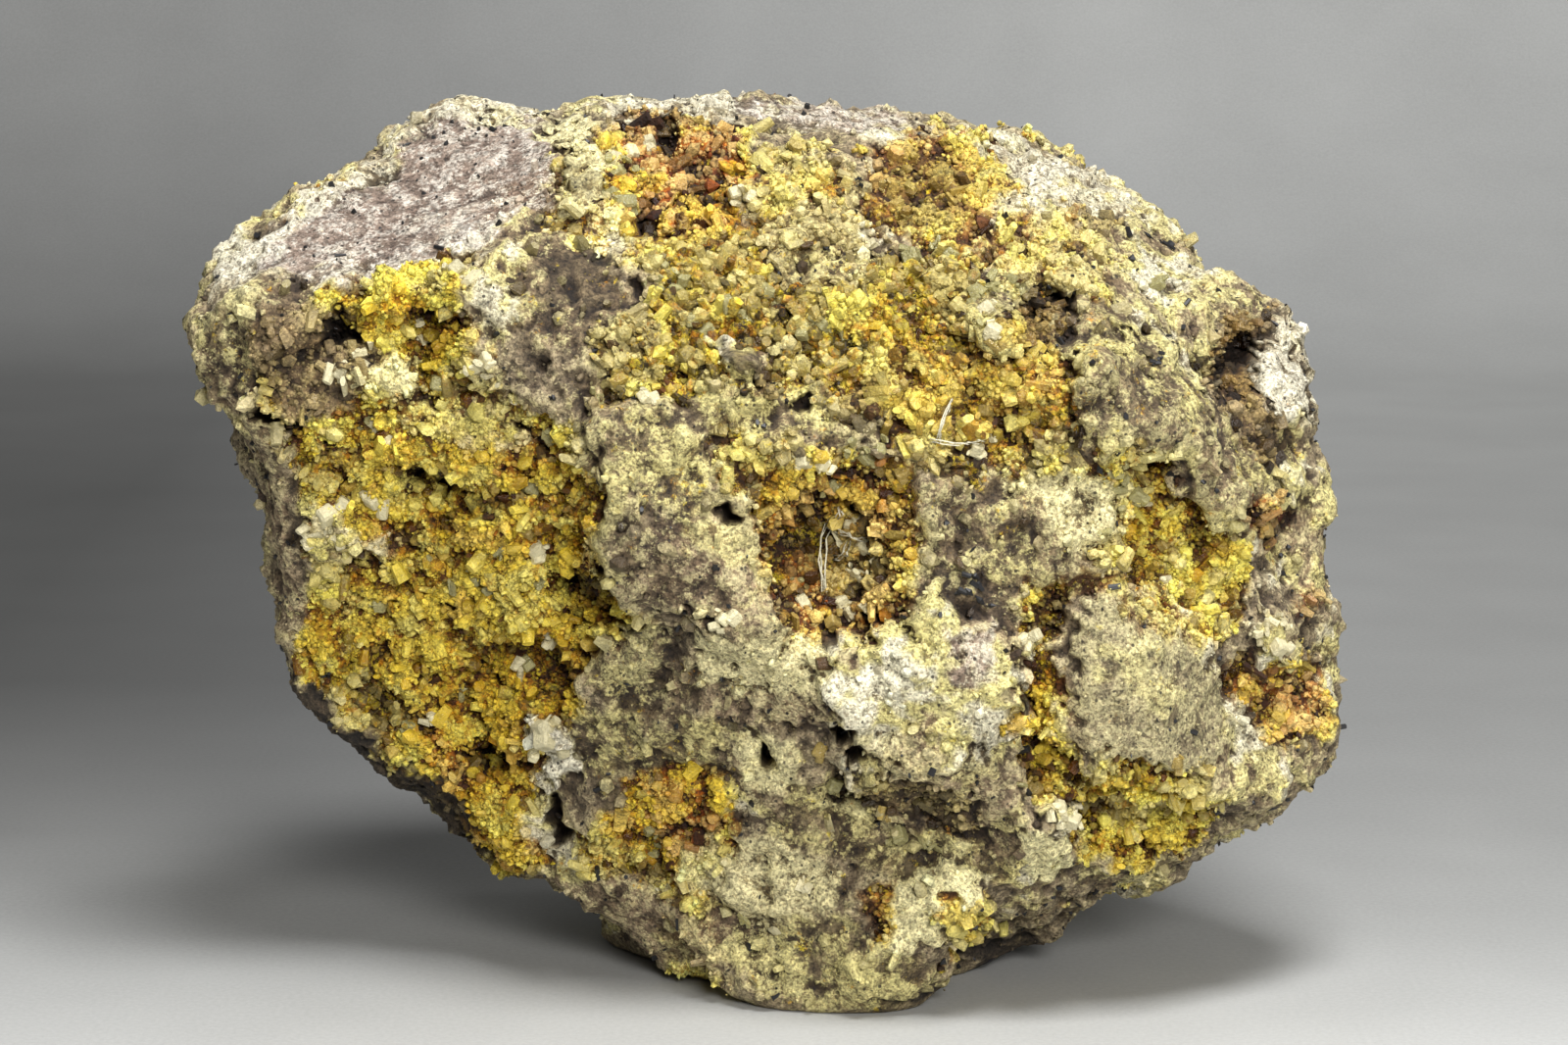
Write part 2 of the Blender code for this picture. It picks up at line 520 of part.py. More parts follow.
def largest_body(mesh):
    """Drops the loose chips that the cut leaves, and keeps the one large body."""
    bm = bmesh.new()
    bm.from_mesh(mesh)
    left = set(bm.verts)
    best = []
    while left:
        body = [left.pop()]
        for vertex in body:
            for edge in vertex.link_edges:
                other = edge.other_vert(vertex)
                if other in left:
                    left.remove(other)
                    body.append(other)
        best = max(best, body, key=len)
    keep = set(best)
    bmesh.ops.delete(bm, geom=[v for v in bm.verts if v not in keep], context="VERTS")
    in_order(bm).to_mesh(mesh)
    bm.free()
    return mesh


def crust(name, surface, cutter, guides, chance):
    body = helper(name + "_bed", bed(name, surface), guides)
    stones = helper(name + "_crystals", crystals(name, surface, chance), guides)
    boolean(body, "UNION", stones, "EXACT")
    boolean(body, "DIFFERENCE", cutter, "MANIFOLD")
    mesh = largest_body(evaluated_mesh(body))
    mesh.name = name
    return mesh


def settle(meshes):
    """Moves the whole specimen so that its box stands centred on the origin."""
    corners = [v.co for mesh in meshes for v in mesh.vertices]
    low, high = (Vector([pick(c[i] for c in corners) for i in range(3)]) for pick in (min, max))
    middle = (low + high) / 2
    print("box", [round(c / MM, 2) for c in (*low, *high)])
    for mesh in meshes:
        mesh.transform(Matrix.Translation((-middle.x, -middle.y, -low.z)))


def main():
    clear_scene()
    specimen = collection("clinoptilolite_specimen")
    guides = collection("cutters")
    chance = random.Random(SEED)
    rock = tuff(guides)
    surface = BVHTree.FromPolygons([v.co for v in rock.vertices], [p.vertices for p in rock.polygons])
    cutter = wire(add_object("tuff_and_gap", rock.copy(), guides))
    cutter.data.transform(Matrix.Translation((0.0, -GAP * MM, 0.0)))
    pieces = {"altered_tuff": rock}
    for name in HOLLOWS:
        pieces[name] = crust(name, surface, cutter, guides, chance)
    settle(pieces.values())
    for name, mesh in pieces.items():
        mesh.materials.clear()
        mesh.materials.append(finish(CRUST_FINISH.get(name, "altered_tuff")))
        add_object(name, mesh, specimen)


main()
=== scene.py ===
import math
import random

import bmesh
import bpy
import numpy as np
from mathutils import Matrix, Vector, noise
from mathutils.bvhtree import BVHTree


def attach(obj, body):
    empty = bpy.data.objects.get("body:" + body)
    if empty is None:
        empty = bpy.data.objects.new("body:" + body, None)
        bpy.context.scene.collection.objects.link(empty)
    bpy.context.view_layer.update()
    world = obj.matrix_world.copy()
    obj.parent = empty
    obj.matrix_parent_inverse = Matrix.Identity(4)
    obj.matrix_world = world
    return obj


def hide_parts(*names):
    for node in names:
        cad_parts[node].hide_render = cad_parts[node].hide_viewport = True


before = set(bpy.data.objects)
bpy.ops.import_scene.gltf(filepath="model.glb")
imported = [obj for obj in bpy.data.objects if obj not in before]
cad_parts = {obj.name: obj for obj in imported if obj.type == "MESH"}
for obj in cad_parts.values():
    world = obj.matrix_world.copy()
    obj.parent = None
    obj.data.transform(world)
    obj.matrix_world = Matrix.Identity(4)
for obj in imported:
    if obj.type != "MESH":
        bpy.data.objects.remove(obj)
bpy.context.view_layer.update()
mm = 0.001
chance = random.Random(11)
dice = np.random.default_rng(11)


# A shader socket that can stand in sums, and the finish that it belongs to.
class Wire:
    def __init__(self, finish, socket):
        self.finish = finish
        self.socket = socket

    def sum(self, operation, *others):
        values = dict(enumerate([self, *others]))
        return self.finish.node("ShaderNodeMath", {"operation": operation}, values)

    def __add__(self, other):
        return self.sum("ADD", other)

    def __sub__(self, other):
        return self.sum("SUBTRACT", other)

    def __rsub__(self, other):
        return self.finish.node("ShaderNodeMath", {"operation": "SUBTRACT"}, {0: other, 1: self})

    def __mul__(self, other):
        return self.sum("MULTIPLY", other)

    def clamped(self, low, high):
        settings = {"clamp": True}
        limits = {0: self, 1: low, 2: high, 3: 0.0, 4: 1.0}
        return self.finish.node("ShaderNodeMapRange", settings, limits)


def setStops(elements, stops):
    elements[0].position, elements[1].position = stops[0][0], stops[-1][0]
    for spot, colour in stops[1:-1]:
        elements.new(spot)
    for element, (spot, colour) in zip(elements, stops):
        element.color = (*colour, 1.0)


class Finish:
    def __init__(self, name):
        self.material = bpy.data.materials.new(name)
        self.material.use_nodes = True
        self.tree = self.material.node_tree
        self.shader = self.tree.nodes["Principled BSDF"]
        self.place = self.node("ShaderNodeTexCoord", {}, {}, "Object")

    def node(self, kind, settings, inputs, output=0):
        made = self.tree.nodes.new(kind)
        for key, value in settings.items():
            if key == "stops":
                setStops(made.color_ramp.elements, value)
            else:
                setattr(made, key, value)
        for key, value in inputs.items():
            self.feed(made.inputs[key], value)
        return Wire(self, made.outputs[output])

    def feed(self, socket, value):
        if isinstance(value, Wire):
            self.tree.links.new(value.socket, socket)
        elif socket.type == "RGBA" and len(value) == 3:
            socket.default_value = (*value, 1.0)
        else:
            socket.default_value = value

    def noise(self, size, detail=3.0, rough=0.6, shift=0.0):
        shifted = {0: self.place, 1: (shift, shift, shift)}
        place = self.node("ShaderNodeVectorMath", {"operation": "ADD"}, shifted)
        inputs = {"Vector": place, "Scale": 1.0 / (size * mm), "Detail": detail, "Roughness": rough}
        return self.node("ShaderNodeTexNoise", {}, inputs)

    def cells(self, size, output="Distance"):
        inputs = {"Vector": self.place, "Scale": 1.0 / (size * mm)}
        return self.node("ShaderNodeTexVoronoi", {}, inputs, output)

    def speckle(self, size):
        # a random value for every small granule
        colour = self.cells(size, "Color")
        return self.node("ShaderNodeSeparateColor", {}, {"Color": colour})

    def attribute(self, name, output="Fac"):
        return self.node("ShaderNodeAttribute", {"attribute_name": name}, {}, output)

    def mix(self, share, first, second, blend="MIX"):
        made = self.tree.nodes.new("ShaderNodeMix")
        made.data_type = "RGBA"
        made.blend_type = blend
        self.feed(made.inputs["Factor"], share)
        self.feed([s for s in made.inputs if s.name == "A" and s.type == "RGBA"][0], first)
        self.feed([s for s in made.inputs if s.name == "B" and s.type == "RGBA"][0], second)
        return Wire(self, [s for s in made.outputs if s.type == "RGBA"][0])

    def bump(self, height, depth, strength=1.0):
        inputs = {"Height": height, "Distance": depth * mm, "Strength": strength}
        return self.node("ShaderNodeBump", {}, inputs)

    def shade(self, **inputs):
        for key, value in inputs.items():
            self.feed(self.shader.inputs[key.replace("_", " ")], value)
        return self.material


def linear(colour):
    return tuple(((c + 14.0) / 269.0) ** 2.4 if c > 10 else c / 3300.0 for c in colour)


# The camera stands in front and looks down a little. Lengths are in mm, the lift is in degrees, and a view
# point is one of the 1600 x 1066 points of its view, counted from the upper left.
view = {
    "target": (0.895, -0.315, 39.9),
    "distance": 388.0,
    "lift": 9.0,
    "lens": 100.0,
    "sensor": 36.0,
    "width": 1600,            # view points across
    "middle": (800, 533),     # the view point that looks at the target
    "inward": (780, 560),     # a view point well inside the specimen
    "walk": 0.02,             # share of the way inward that one step takes
    "steps": 46,              # the most that are tried
}
lift = math.radians(view["lift"])
focus = view["width"] * view["lens"] / view["sensor"]
cameraPlace = (view["target"][0], view["target"][1] - view["distance"] * math.cos(lift),
               view["target"][2] + view["distance"] * math.sin(lift))


def solidTree():
    # all the CAD solids, to cast rays at
    verts, faces = [], []
    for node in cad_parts.values():
        faces += [[len(verts) + corner for corner in face.vertices] for face in node.data.polygons]
        verts += [vertex.co for vertex in node.data.vertices]
    return BVHTree.FromPolygons(verts, faces)


solids = solidTree()


def rayThrough(across, down):
    # the camera's ray through a view point, of length one along the line of sight
    right, low = (across - view["middle"][0]) / focus, (down - view["middle"][1]) / focus
    return right, math.cos(lift) - low * math.sin(lift), -math.sin(lift) - low * math.cos(lift)


def spotAt(across, down):
    # x and z of the solid seen at a view point, and the width of one view point there, in mm. A point beside
    # the specimen is taken to be as deep as the first solid on the way inward.
    start = Vector(cameraPlace) * mm
    for step in range(view["steps"]):
        share = view["walk"] * step
        aside = across + (view["inward"][0] - across) * share
        below = down + (view["inward"][1] - down) * share
        met = solids.ray_cast(start, Vector(rayThrough(aside, below)))[0]
        if met is not None:
            break
    ray = rayThrough(across, down)
    reach = (met.y / mm - cameraPlace[1]) / ray[1]
    return cameraPlace[0] + ray[0] * reach, cameraPlace[2] + ray[2] * reach, reach / focus


def sized(across, down, *widths):
    # a place (x, z) and widths there, all given in view points, to a tenth of a mm
    x, z, point = spotAt(across, down)
    return round(x, 1), round(z, 1), *(round(width * point, 1) for width in widths)


# Where each kind of ground lies on the front: kind, share, soft edge, step out or in, and outline. The
# outlines and soft edges are in view points, and the steps in mm before patchCut makes them larger.
groundPatches = {
    "upper left break": ("lilac", 0.85, 14, 0, [
        (280, 240), (388, 176), (436, 128), (532, 116), (580, 156), (564, 216), (420, 292),
        (256, 280)]),
    "break skyline": ("white", 0.8, 9, 0, [
        (204, 262), (268, 250), (452, 100), (525, 96), (560, 106), (430, 132), (256, 276),
        (212, 290)]),
    "break foot": ("white", 0.45, 12, 0, [
        (212, 284), (420, 270), (520, 220), (430, 296), (330, 282), (222, 300)]),
    "cream rib": ("bone", 0.85, 14, 0.9, [
        (470, 100), (590, 118), (628, 178), (600, 222), (566, 216), (572, 186), (596, 168),
        (540, 118)]),
    "grey by the rib": ("dark", 0.5, 10, 0, [
        (582, 170), (622, 172), (618, 192), (590, 198)]),
    "cream under the rib": ("mauve", 0.6, 14, 0, [
        (560, 190), (620, 196), (626, 214), (556, 216)]),
    "left end": ("darkmauve", 0.85, 7, 0, [
        (194, 316), (332, 280), (322, 300), (280, 312), (256, 360), (266, 386), (224, 406)]),
    "left side strip": ("mauve", 0.9, 7, 0, [
        (224, 406), (262, 400), (262, 430), (292, 440), (286, 480), (306, 600), (304, 650)]),
    "left cream ground": ("brown", 0.6, 14, 0, [
        (262, 316), (330, 300), (380, 330), (400, 350), (384, 410), (340, 436), (262, 424),
        (256, 346)]),
    "left field": ("yellow", 1, 12, -0.6, [
        (320, 300), (480, 262), (470, 300), (480, 380), (600, 450), (620, 520), (610, 560),
        (650, 640), (600, 680), (592, 730), (560, 750), (520, 900), (300, 660), (312, 600),
        (290, 450), (380, 400), (400, 350)]),
    "left field heart": ("ochre", 0.6, 20, -0.4, [
        (350, 420), (590, 450), (614, 520), (580, 560), (646, 640), (540, 720), (560, 780),
        (500, 850), (360, 640)]),
    "deep left bay": ("ochre", 1, 10, -1.6, [
        (560, 540), (610, 556), (650, 640), (580, 640), (556, 600)]),
    "gold by the ridge": ("yellow", 0.9, 6, 0, [
        (376, 296), (432, 294), (470, 268), (480, 290), (440, 360), (400, 330)]),
    "lower left gold": ("ochre", 0.9, 12, 0, [
        (470, 680), (600, 690), (590, 740), (540, 740), (536, 800), (560, 880), (520, 890),
        (430, 760)]),
    "left grey lump": ("bone", 0.8, 12, 0.8, [
        (378, 392), (408, 352), (430, 372), (424, 396), (400, 402)]),
    "edge grey": ("brown", 0.8, 10, 0, [
        (396, 738), (420, 726), (456, 742), (450, 754)]),
    "left lit cream": ("cream", 0.5, 12, 0.3, [
        (390, 400), (520, 400), (560, 450), (500, 470), (420, 450)]),
    "white cluster ground": ("cream", 0.7, 16, 0.8, [
        (306, 520), (344, 512), (360, 540), (400, 552), (396, 580), (316, 560)]),
    "granular mauve": ("darkmauve", 1, 10, -0.3, [
        (520, 228), (580, 232), (682, 336), (650, 366), (548, 356), (500, 252)]),
    "granular mauve cream": ("cream", 0.75, 7, 0, [
        (470, 262), (500, 236), (536, 236), (544, 262), (520, 280), (530, 330), (500, 350)]),
    "mauve dark heart": ("dark", 0.5, 10, 0, [
        (540, 262), (600, 250), (630, 300), (616, 320), (560, 310)]),
    "below the mauve": ("cream", 0.5, 10, 0, [
        (600, 360), (680, 350), (690, 400), (640, 420), (600, 400)]),
    "yellow by the mauve": ("darkmauve", 0.5, 12, 0, [
        (596, 216), (700, 240), (730, 300), (700, 340)]),
    "rusty hollow edge": ("ochre", 0.8, 10, 0, [
        (610, 130), (700, 112), (776, 150), (740, 240), (640, 250)]),
    "rusty hollow": ("rust", 1, 8, -1.2, [
        (632, 124), (740, 140), (764, 158), (736, 216), (700, 236), (656, 244), (640, 222),
        (652, 190), (626, 172)]),
    "middle field": ("olive", 0.95, 14, -0.3, [
        (650, 250), (740, 240), (768, 216), (790, 280), (880, 290), (900, 260), (980, 260),
        (1000, 330), (920, 350), (900, 400), (840, 420), (800, 400), (700, 410), (640, 400),
        (680, 340)]),
    "middle yellow": ("olive", 0.75, 16, 0, [
        (600, 340), (700, 290), (1000, 300), (1080, 330), (1120, 420), (1090, 480), (980, 500),
        (900, 440), (700, 400), (610, 420)]),
    "middle orange": ("ochre", 0.5, 30, 0, [
        (900, 350), (1080, 310), (1100, 380), (1080, 440), (1000, 470), (840, 400)]),
    "cream hump": ("pale", 0.55, 26, 0.4, [
        (768, 190), (800, 166), (860, 176), (890, 200), (890, 300), (790, 270), (764, 230)]),
    "hump powder": ("yellow", 0.55, 8, 0, [
        (772, 176), (850, 166), (862, 190), (830, 210), (780, 210)]),
    "hump foot": ("greycream", 0.6, 20, 0, [
        (800, 260), (860, 250), (890, 280), (880, 300), (830, 292)]),
    "brown bay": ("ochre", 0.7, 10, -0.9, [
        (884, 160), (980, 148), (1020, 164), (1036, 200), (980, 262), (900, 230)]),
    "brown bay heart": ("brown", 0.6, 10, 0, [
        (900, 170), (960, 160), (1000, 190), (980, 230), (930, 236), (904, 210)]),
    "skyline": ("white", 0.75, 14, 0, [
        (600, 96), (940, 116), (1080, 160), (1190, 206), (1170, 216), (1110, 190), (940, 134),
        (640, 118)]),
    "skyline pink": ("lilac", 0.7, 8, 0, [
        (740, 98), (930, 112), (930, 126), (760, 116)]),
    "white saddle": ("white", 0.8, 16, 0.2, [
        (1030, 176), (1092, 168), (1090, 196), (1036, 196)]),
    "upper right rough": ("cream", 0.7, 14, 0, [
        (1020, 200), (1100, 180), (1190, 210), (1206, 256), (1290, 310), (1180, 320), (1000, 270)]),
    "upper right yellow": ("yellow", 0.6, 12, 0, [
        (1010, 220), (1080, 220), (1140, 270), (1120, 330), (1000, 270)]),
    "upper right brown": ("brown", 0.6, 7, 0, [
        (1084, 214), (1140, 220), (1160, 246), (1120, 250), (1090, 236)]),
    "upper right orange": ("rust", 0.6, 8, 0, [
        (1070, 206), (1090, 208), (1106, 226), (1080, 228)]),
    "arch": ("greycream", 0.9, 14, 1, [
        (984, 320), (996, 286), (1030, 276), (1054, 290), (1046, 312), (1020, 330), (1020, 360),
        (992, 350)]),
    "arch hollow ground": ("brown", 0.9, 8, -1.3, [
        (1024, 320), (1056, 296), (1090, 300), (1094, 330), (1070, 366), (1030, 370)]),
    "mauve by the arch": ("darkmauve", 0.9, 6, 0.5, [
        (1086, 300), (1130, 300), (1148, 340), (1140, 384), (1100, 388), (1084, 350)]),
    "plate above grey": ("greycream", 0.9, 12, 0.9, [
        (1100, 340), (1200, 330), (1240, 380), (1240, 420), (1330, 480), (1330, 510), (1240, 530),
        (1210, 470), (1140, 470), (1090, 420)]),
    "plate grey heart": ("darkmauve", 0.95, 12, 0, [
        (1190, 420), (1240, 420), (1290, 470), (1300, 500), (1250, 520), (1215, 470), (1160, 440)]),
    "rim pit ground": ("brown", 1, 7, -1, [
        (1232, 340), (1262, 330), (1288, 352), (1282, 396), (1262, 410), (1240, 390)]),
    "rim ochre": ("brown", 0.75, 10, 0, [
        (1236, 330), (1296, 330), (1290, 400), (1320, 450), (1300, 480), (1260, 450), (1240, 400)]),
    "knob": ("white", 0.8, 18, 0.9, [
        (1278, 370), (1300, 340), (1334, 352), (1346, 392), (1336, 430), (1296, 420)]),
    "right rim": ("cream", 0.7, 10, 0, [
        (1300, 430), (1340, 420), (1346, 580), (1320, 560)]),
    "right hollow": ("yellow", 0.95, 10, -0.7, [
        (1116, 470), (1160, 450), (1268, 560), (1260, 640), (1230, 656), (1100, 560), (1130, 530)]),
    "right hollow green": ("yellow", 0.6, 10, 0, [
        (1120, 470), (1170, 470), (1230, 600), (1180, 600)]),
    "right hollow low": ("ochre", 0.6, 14, -0.4, [
        (1050, 600), (1110, 580), (1230, 650), (1200, 660), (1130, 620)]),
    "orange under plate": ("rust", 0.9, 5, -0.6, [
        (1262, 520), (1300, 506), (1318, 530), (1310, 556), (1284, 552)]),
    "right edge yellow": ("rust", 0.6, 12, 0, [
        (1318, 600), (1336, 588), (1352, 606), (1344, 630), (1322, 626)]),
    "edge rust gold": ("ochre", 0.8, 9, 0, [
        (1258, 680), (1320, 660), (1352, 690), (1346, 760), (1290, 754), (1262, 720)]),
    "edge rust": ("rust", 0.9, 7, -0.5, [
        (1272, 690), (1320, 672), (1346, 700), (1344, 744), (1310, 752)]),
    "edge lump ground": ("cream", 0.9, 6, 0.8, [
        (1270, 640), (1290, 620), (1320, 630), (1322, 664), (1290, 674), (1272, 660)]),
    "right cream": ("cream", 0.8, 14, 0, [
        (1190, 700), (1260, 690), (1300, 760), (1350, 770), (1300, 810), (1220, 820), (1180, 780)]),
    "right plain face": ("grey", 0.9, 12, 0.5, [
        (1092, 622), (1130, 612), (1256, 690), (1250, 780), (1120, 780), (1090, 720)]),
    "middle plate": ("darkmauve", 0.55, 12, 0.8, [
        (600, 420), (780, 390), (880, 400), (900, 440), (860, 470), (800, 500), (790, 560),
        (800, 640), (740, 650), (690, 620), (650, 640), (606, 560), (620, 480)]),
    "plate cream left": ("greycream", 0.8, 10, 0.3, [
        (606, 440), (650, 430), (700, 440), (740, 470), (700, 520), (640, 510), (616, 560),
        (640, 620), (612, 590)]),
    "plate cream top": ("greycream", 0.8, 10, 0, [
        (700, 400), (800, 400), (860, 420), (800, 450), (740, 450)]),
    "plate grey": ("mauve", 0.8, 12, 0, [
        (660, 530), (740, 520), (780, 560), (790, 620), (720, 640), (660, 600)]),
    "plate green": ("olive", 0.6, 12, 0, [
        (740, 440), (820, 440), (790, 520), (740, 500)]),
    "capped lump rim": ("cream", 1, 4, 0.8, [
        (724, 350), (756, 344), (786, 356), (790, 380), (770, 390), (740, 388)]),
    "capped lump": ("dark", 0.8, 4, 0.8, [
        (732, 358), (758, 352), (778, 362), (770, 376), (740, 378)]),
    "second capped lump": ("brown", 0.6, 6, 0.8, [
        (764, 392), (792, 388), (796, 402), (776, 408)]),
    "mauve grains": ("brown", 0.8, 10, 0.7, [
        (866, 392), (892, 386), (904, 408), (880, 416)]),
    "mauve under middle": ("darkmauve", 0.9, 8, 0.2, [
        (928, 500), (980, 490), (1100, 540), (1060, 590), (1000, 600), (950, 570)]),
    "right matrix": ("darkmauve", 0.7, 14, 0.4, [
        (930, 500), (1040, 470), (1130, 480), (1130, 540), (1110, 580), (1040, 640), (940, 640),
        (900, 600)]),
    "right matrix pale": ("bone", 0.6, 10, 0, [
        (1050, 484), (1120, 474), (1150, 510), (1130, 560), (1090, 560)]),
    "vug ochre": ("ochre", 0.9, 12, -0.6, [
        (770, 490), (850, 450), (930, 470), (940, 560), (920, 660), (800, 670)]),
    "vug": ("rust", 0.8, 24, -0.8, [
        (780, 520), (830, 480), (900, 480), (930, 520), (930, 640), (830, 660), (790, 620)]),
    "vug heart": ("pale", 0.5, 10, 0, [
        (830, 540), (900, 520), (916, 580), (880, 620), (840, 610)]),
    "lower plate": ("cream", 1, 9, 1.2, [
        (850, 660), (900, 650), (960, 600), (1010, 640), (1040, 650), (1030, 740), (960, 790),
        (900, 780), (850, 740), (840, 700)]),
    "lower plate grey": ("mauve", 0.7, 8, 0.2, [
        (860, 740), (920, 730), (960, 780), (1000, 770), (1030, 800), (1060, 860), (980, 810),
        (900, 790)]),
    "lower plate mottle": ("lilac", 0.6, 6, 0, [
        (960, 640), (1010, 640), (1020, 680), (980, 690)]),
    "left of lower plate": ("bone", 0.8, 12, 0.3, [
        (700, 640), (800, 640), (850, 670), (840, 720), (780, 720), (720, 700)]),
    "lower mauve": ("darkmauve", 0.85, 12, -0.4, [
        (600, 650), (680, 640), (720, 690), (700, 730), (620, 720), (596, 690)]),
    "lower mauve bar": ("mauve", 0.8, 8, 0, [
        (720, 700), (840, 706), (850, 740), (780, 740), (720, 730)]),
    "lower grey": ("greycream", 0.8, 14, 0, [
        (590, 720), (740, 730), (740, 800), (590, 790)]),
    "hole rim": ("bone", 0.8, 14, 0, [
        (748, 770), (776, 746), (806, 764), (810, 800), (790, 812), (754, 806)]),
    "slack ground": ("greycream", 0.75, 14, -0.5, [
        (800, 800), (880, 790), (980, 810), (1050, 860), (1030, 900), (940, 900), (790, 850)]),
    "slack yellow": ("brown", 0.5, 12, -0.7, [
        (850, 780), (940, 790), (1010, 820), (1010, 860), (860, 820)]),
    "lower left orange": ("ochre", 1, 9, -0.4, [
        (640, 800), (690, 780), (740, 800), (750, 860), (730, 884), (680, 880), (640, 896),
        (600, 880)]),
    "lower left orange heart": ("rust", 0.85, 8, 0, [
        (656, 820), (710, 806), (740, 840), (730, 872), (680, 866)]),
    "lower left yellow": ("yellow", 0.7, 10, 0, [
        (580, 850), (620, 836), (660, 870), (700, 884), (650, 900), (600, 890)]),
    "white low": ("white", 0.9, 7, 1, [
        (536, 748), (556, 734), (590, 744), (588, 790), (560, 800)]),
    "channel": ("ochre", 1, 9, -1, [
        (1050, 600), (1100, 590), (1076, 660), (1100, 770), (1110, 800), (1060, 800), (1030, 760)]),
    "channel rust": ("brown", 0.5, 8, 0, [
        (1036, 640), (1080, 600), (1090, 620), (1060, 660), (1050, 700), (1036, 690)]),
    "channel low": ("yellow", 0.8, 8, -0.3, [
        (1044, 740), (1100, 770), (1110, 810), (1060, 810), (1030, 770)]),
    "lower right hollow": ("yellow", 0.9, 10, -0.9, [
        (1090, 790), (1130, 770), (1240, 790), (1246, 830), (1210, 870), (1150, 884), (1104, 880),
        (1096, 840)]),
    "lower right yellow": ("yellow", 0.8, 10, 0, [
        (1100, 830), (1180, 810), (1240, 810), (1230, 860), (1160, 884), (1110, 880)]),
    "channel lump": ("cream", 1, 4, 0.9, [
        (1036, 650), (1050, 640), (1066, 648), (1064, 668), (1046, 672)]),
    "white block": ("cream", 1, 10, 1.2, [
        (1062, 820), (1104, 822), (1104, 846), (1080, 850)]),
    "cream block": ("bone", 1, 3, 0.3, [
        (1044, 850), (1092, 850), (1098, 890), (1060, 900), (1040, 880)]),
    "lowest cream": ("bone", 0.95, 12, 0.5, [
        (920, 890), (960, 880), (1000, 890), (990, 920), (950, 960), (900, 980), (880, 970)]),
    "lowest yellow": ("ochre", 0.8, 12, 0, [
        (884, 904), (908, 900), (906, 960), (888, 960)]),
    "lowest yellow right": ("yellow", 0.8, 7, 0, [
        (960, 920), (1000, 910), (1020, 950), (980, 976)]),
    "lower cream": ("bone", 0.6, 14, 0, [
        (720, 860), (800, 850), (860, 900), (820, 950), (760, 940), (700, 900)]),
    "toe": ("greycream", 0.8, 14, 0, [
        (740, 950), (860, 940), (1000, 980), (830, 1036), (770, 1010)]),
    # painted shade over the toe's brown
    "toe brown and shade": ("dark", 0.9, 8, -0.3, [
        (900, 1010), (1080, 960), (1060, 980), (930, 1020)]),
    "lower right cream": ("greycream", 0.7, 12, 0, [
        (1100, 890), (1220, 870), (1300, 810), (1340, 780), (1200, 890), (1110, 920)]),
    # painted shade over the underside's grey-brown
    "left underside": ("dark", 0.95, 8, -0.3, [
        (300, 670), (400, 770), (450, 800), (520, 890), (600, 920), (560, 925), (440, 840),
        (330, 770), (296, 720)]),
    "bottom left grey": ("mauve", 0.8, 14, 0, [
        (560, 900), (640, 900), (760, 940), (740, 1000), (660, 970)]),
}

patchCut = {
    "pointsPerMm": 11.9,   # view points in a mm of soft edge
    "rise": 1.5,           # what a step out is multiplied by
    "dip": 1.2,            # what a step in is multiplied by
    "wide": 11.0,          # an outline wider than this keeps whole millimetres, a smaller one halves
}


def measuredPatch(kind, share, soft, step, outline):
    spots = [spotAt(*point)[:2] for point in outline]
    extent = max(max(values) - min(values) for values in zip(*spots))
    grid = 1.0 if extent > patchCut["wide"] else 0.5
    line = [(round(x / grid) * grid, round(z / grid) * grid) for x, z in spots]
    gain = patchCut["rise"] if step > 0 else patchCut["dip"]
    return kind, share, round(soft / patchCut["pointsPerMm"], 1), round(step * gain, 1), line


groundAreas = [measuredPatch(*patch) for patch in groundPatches.values()]

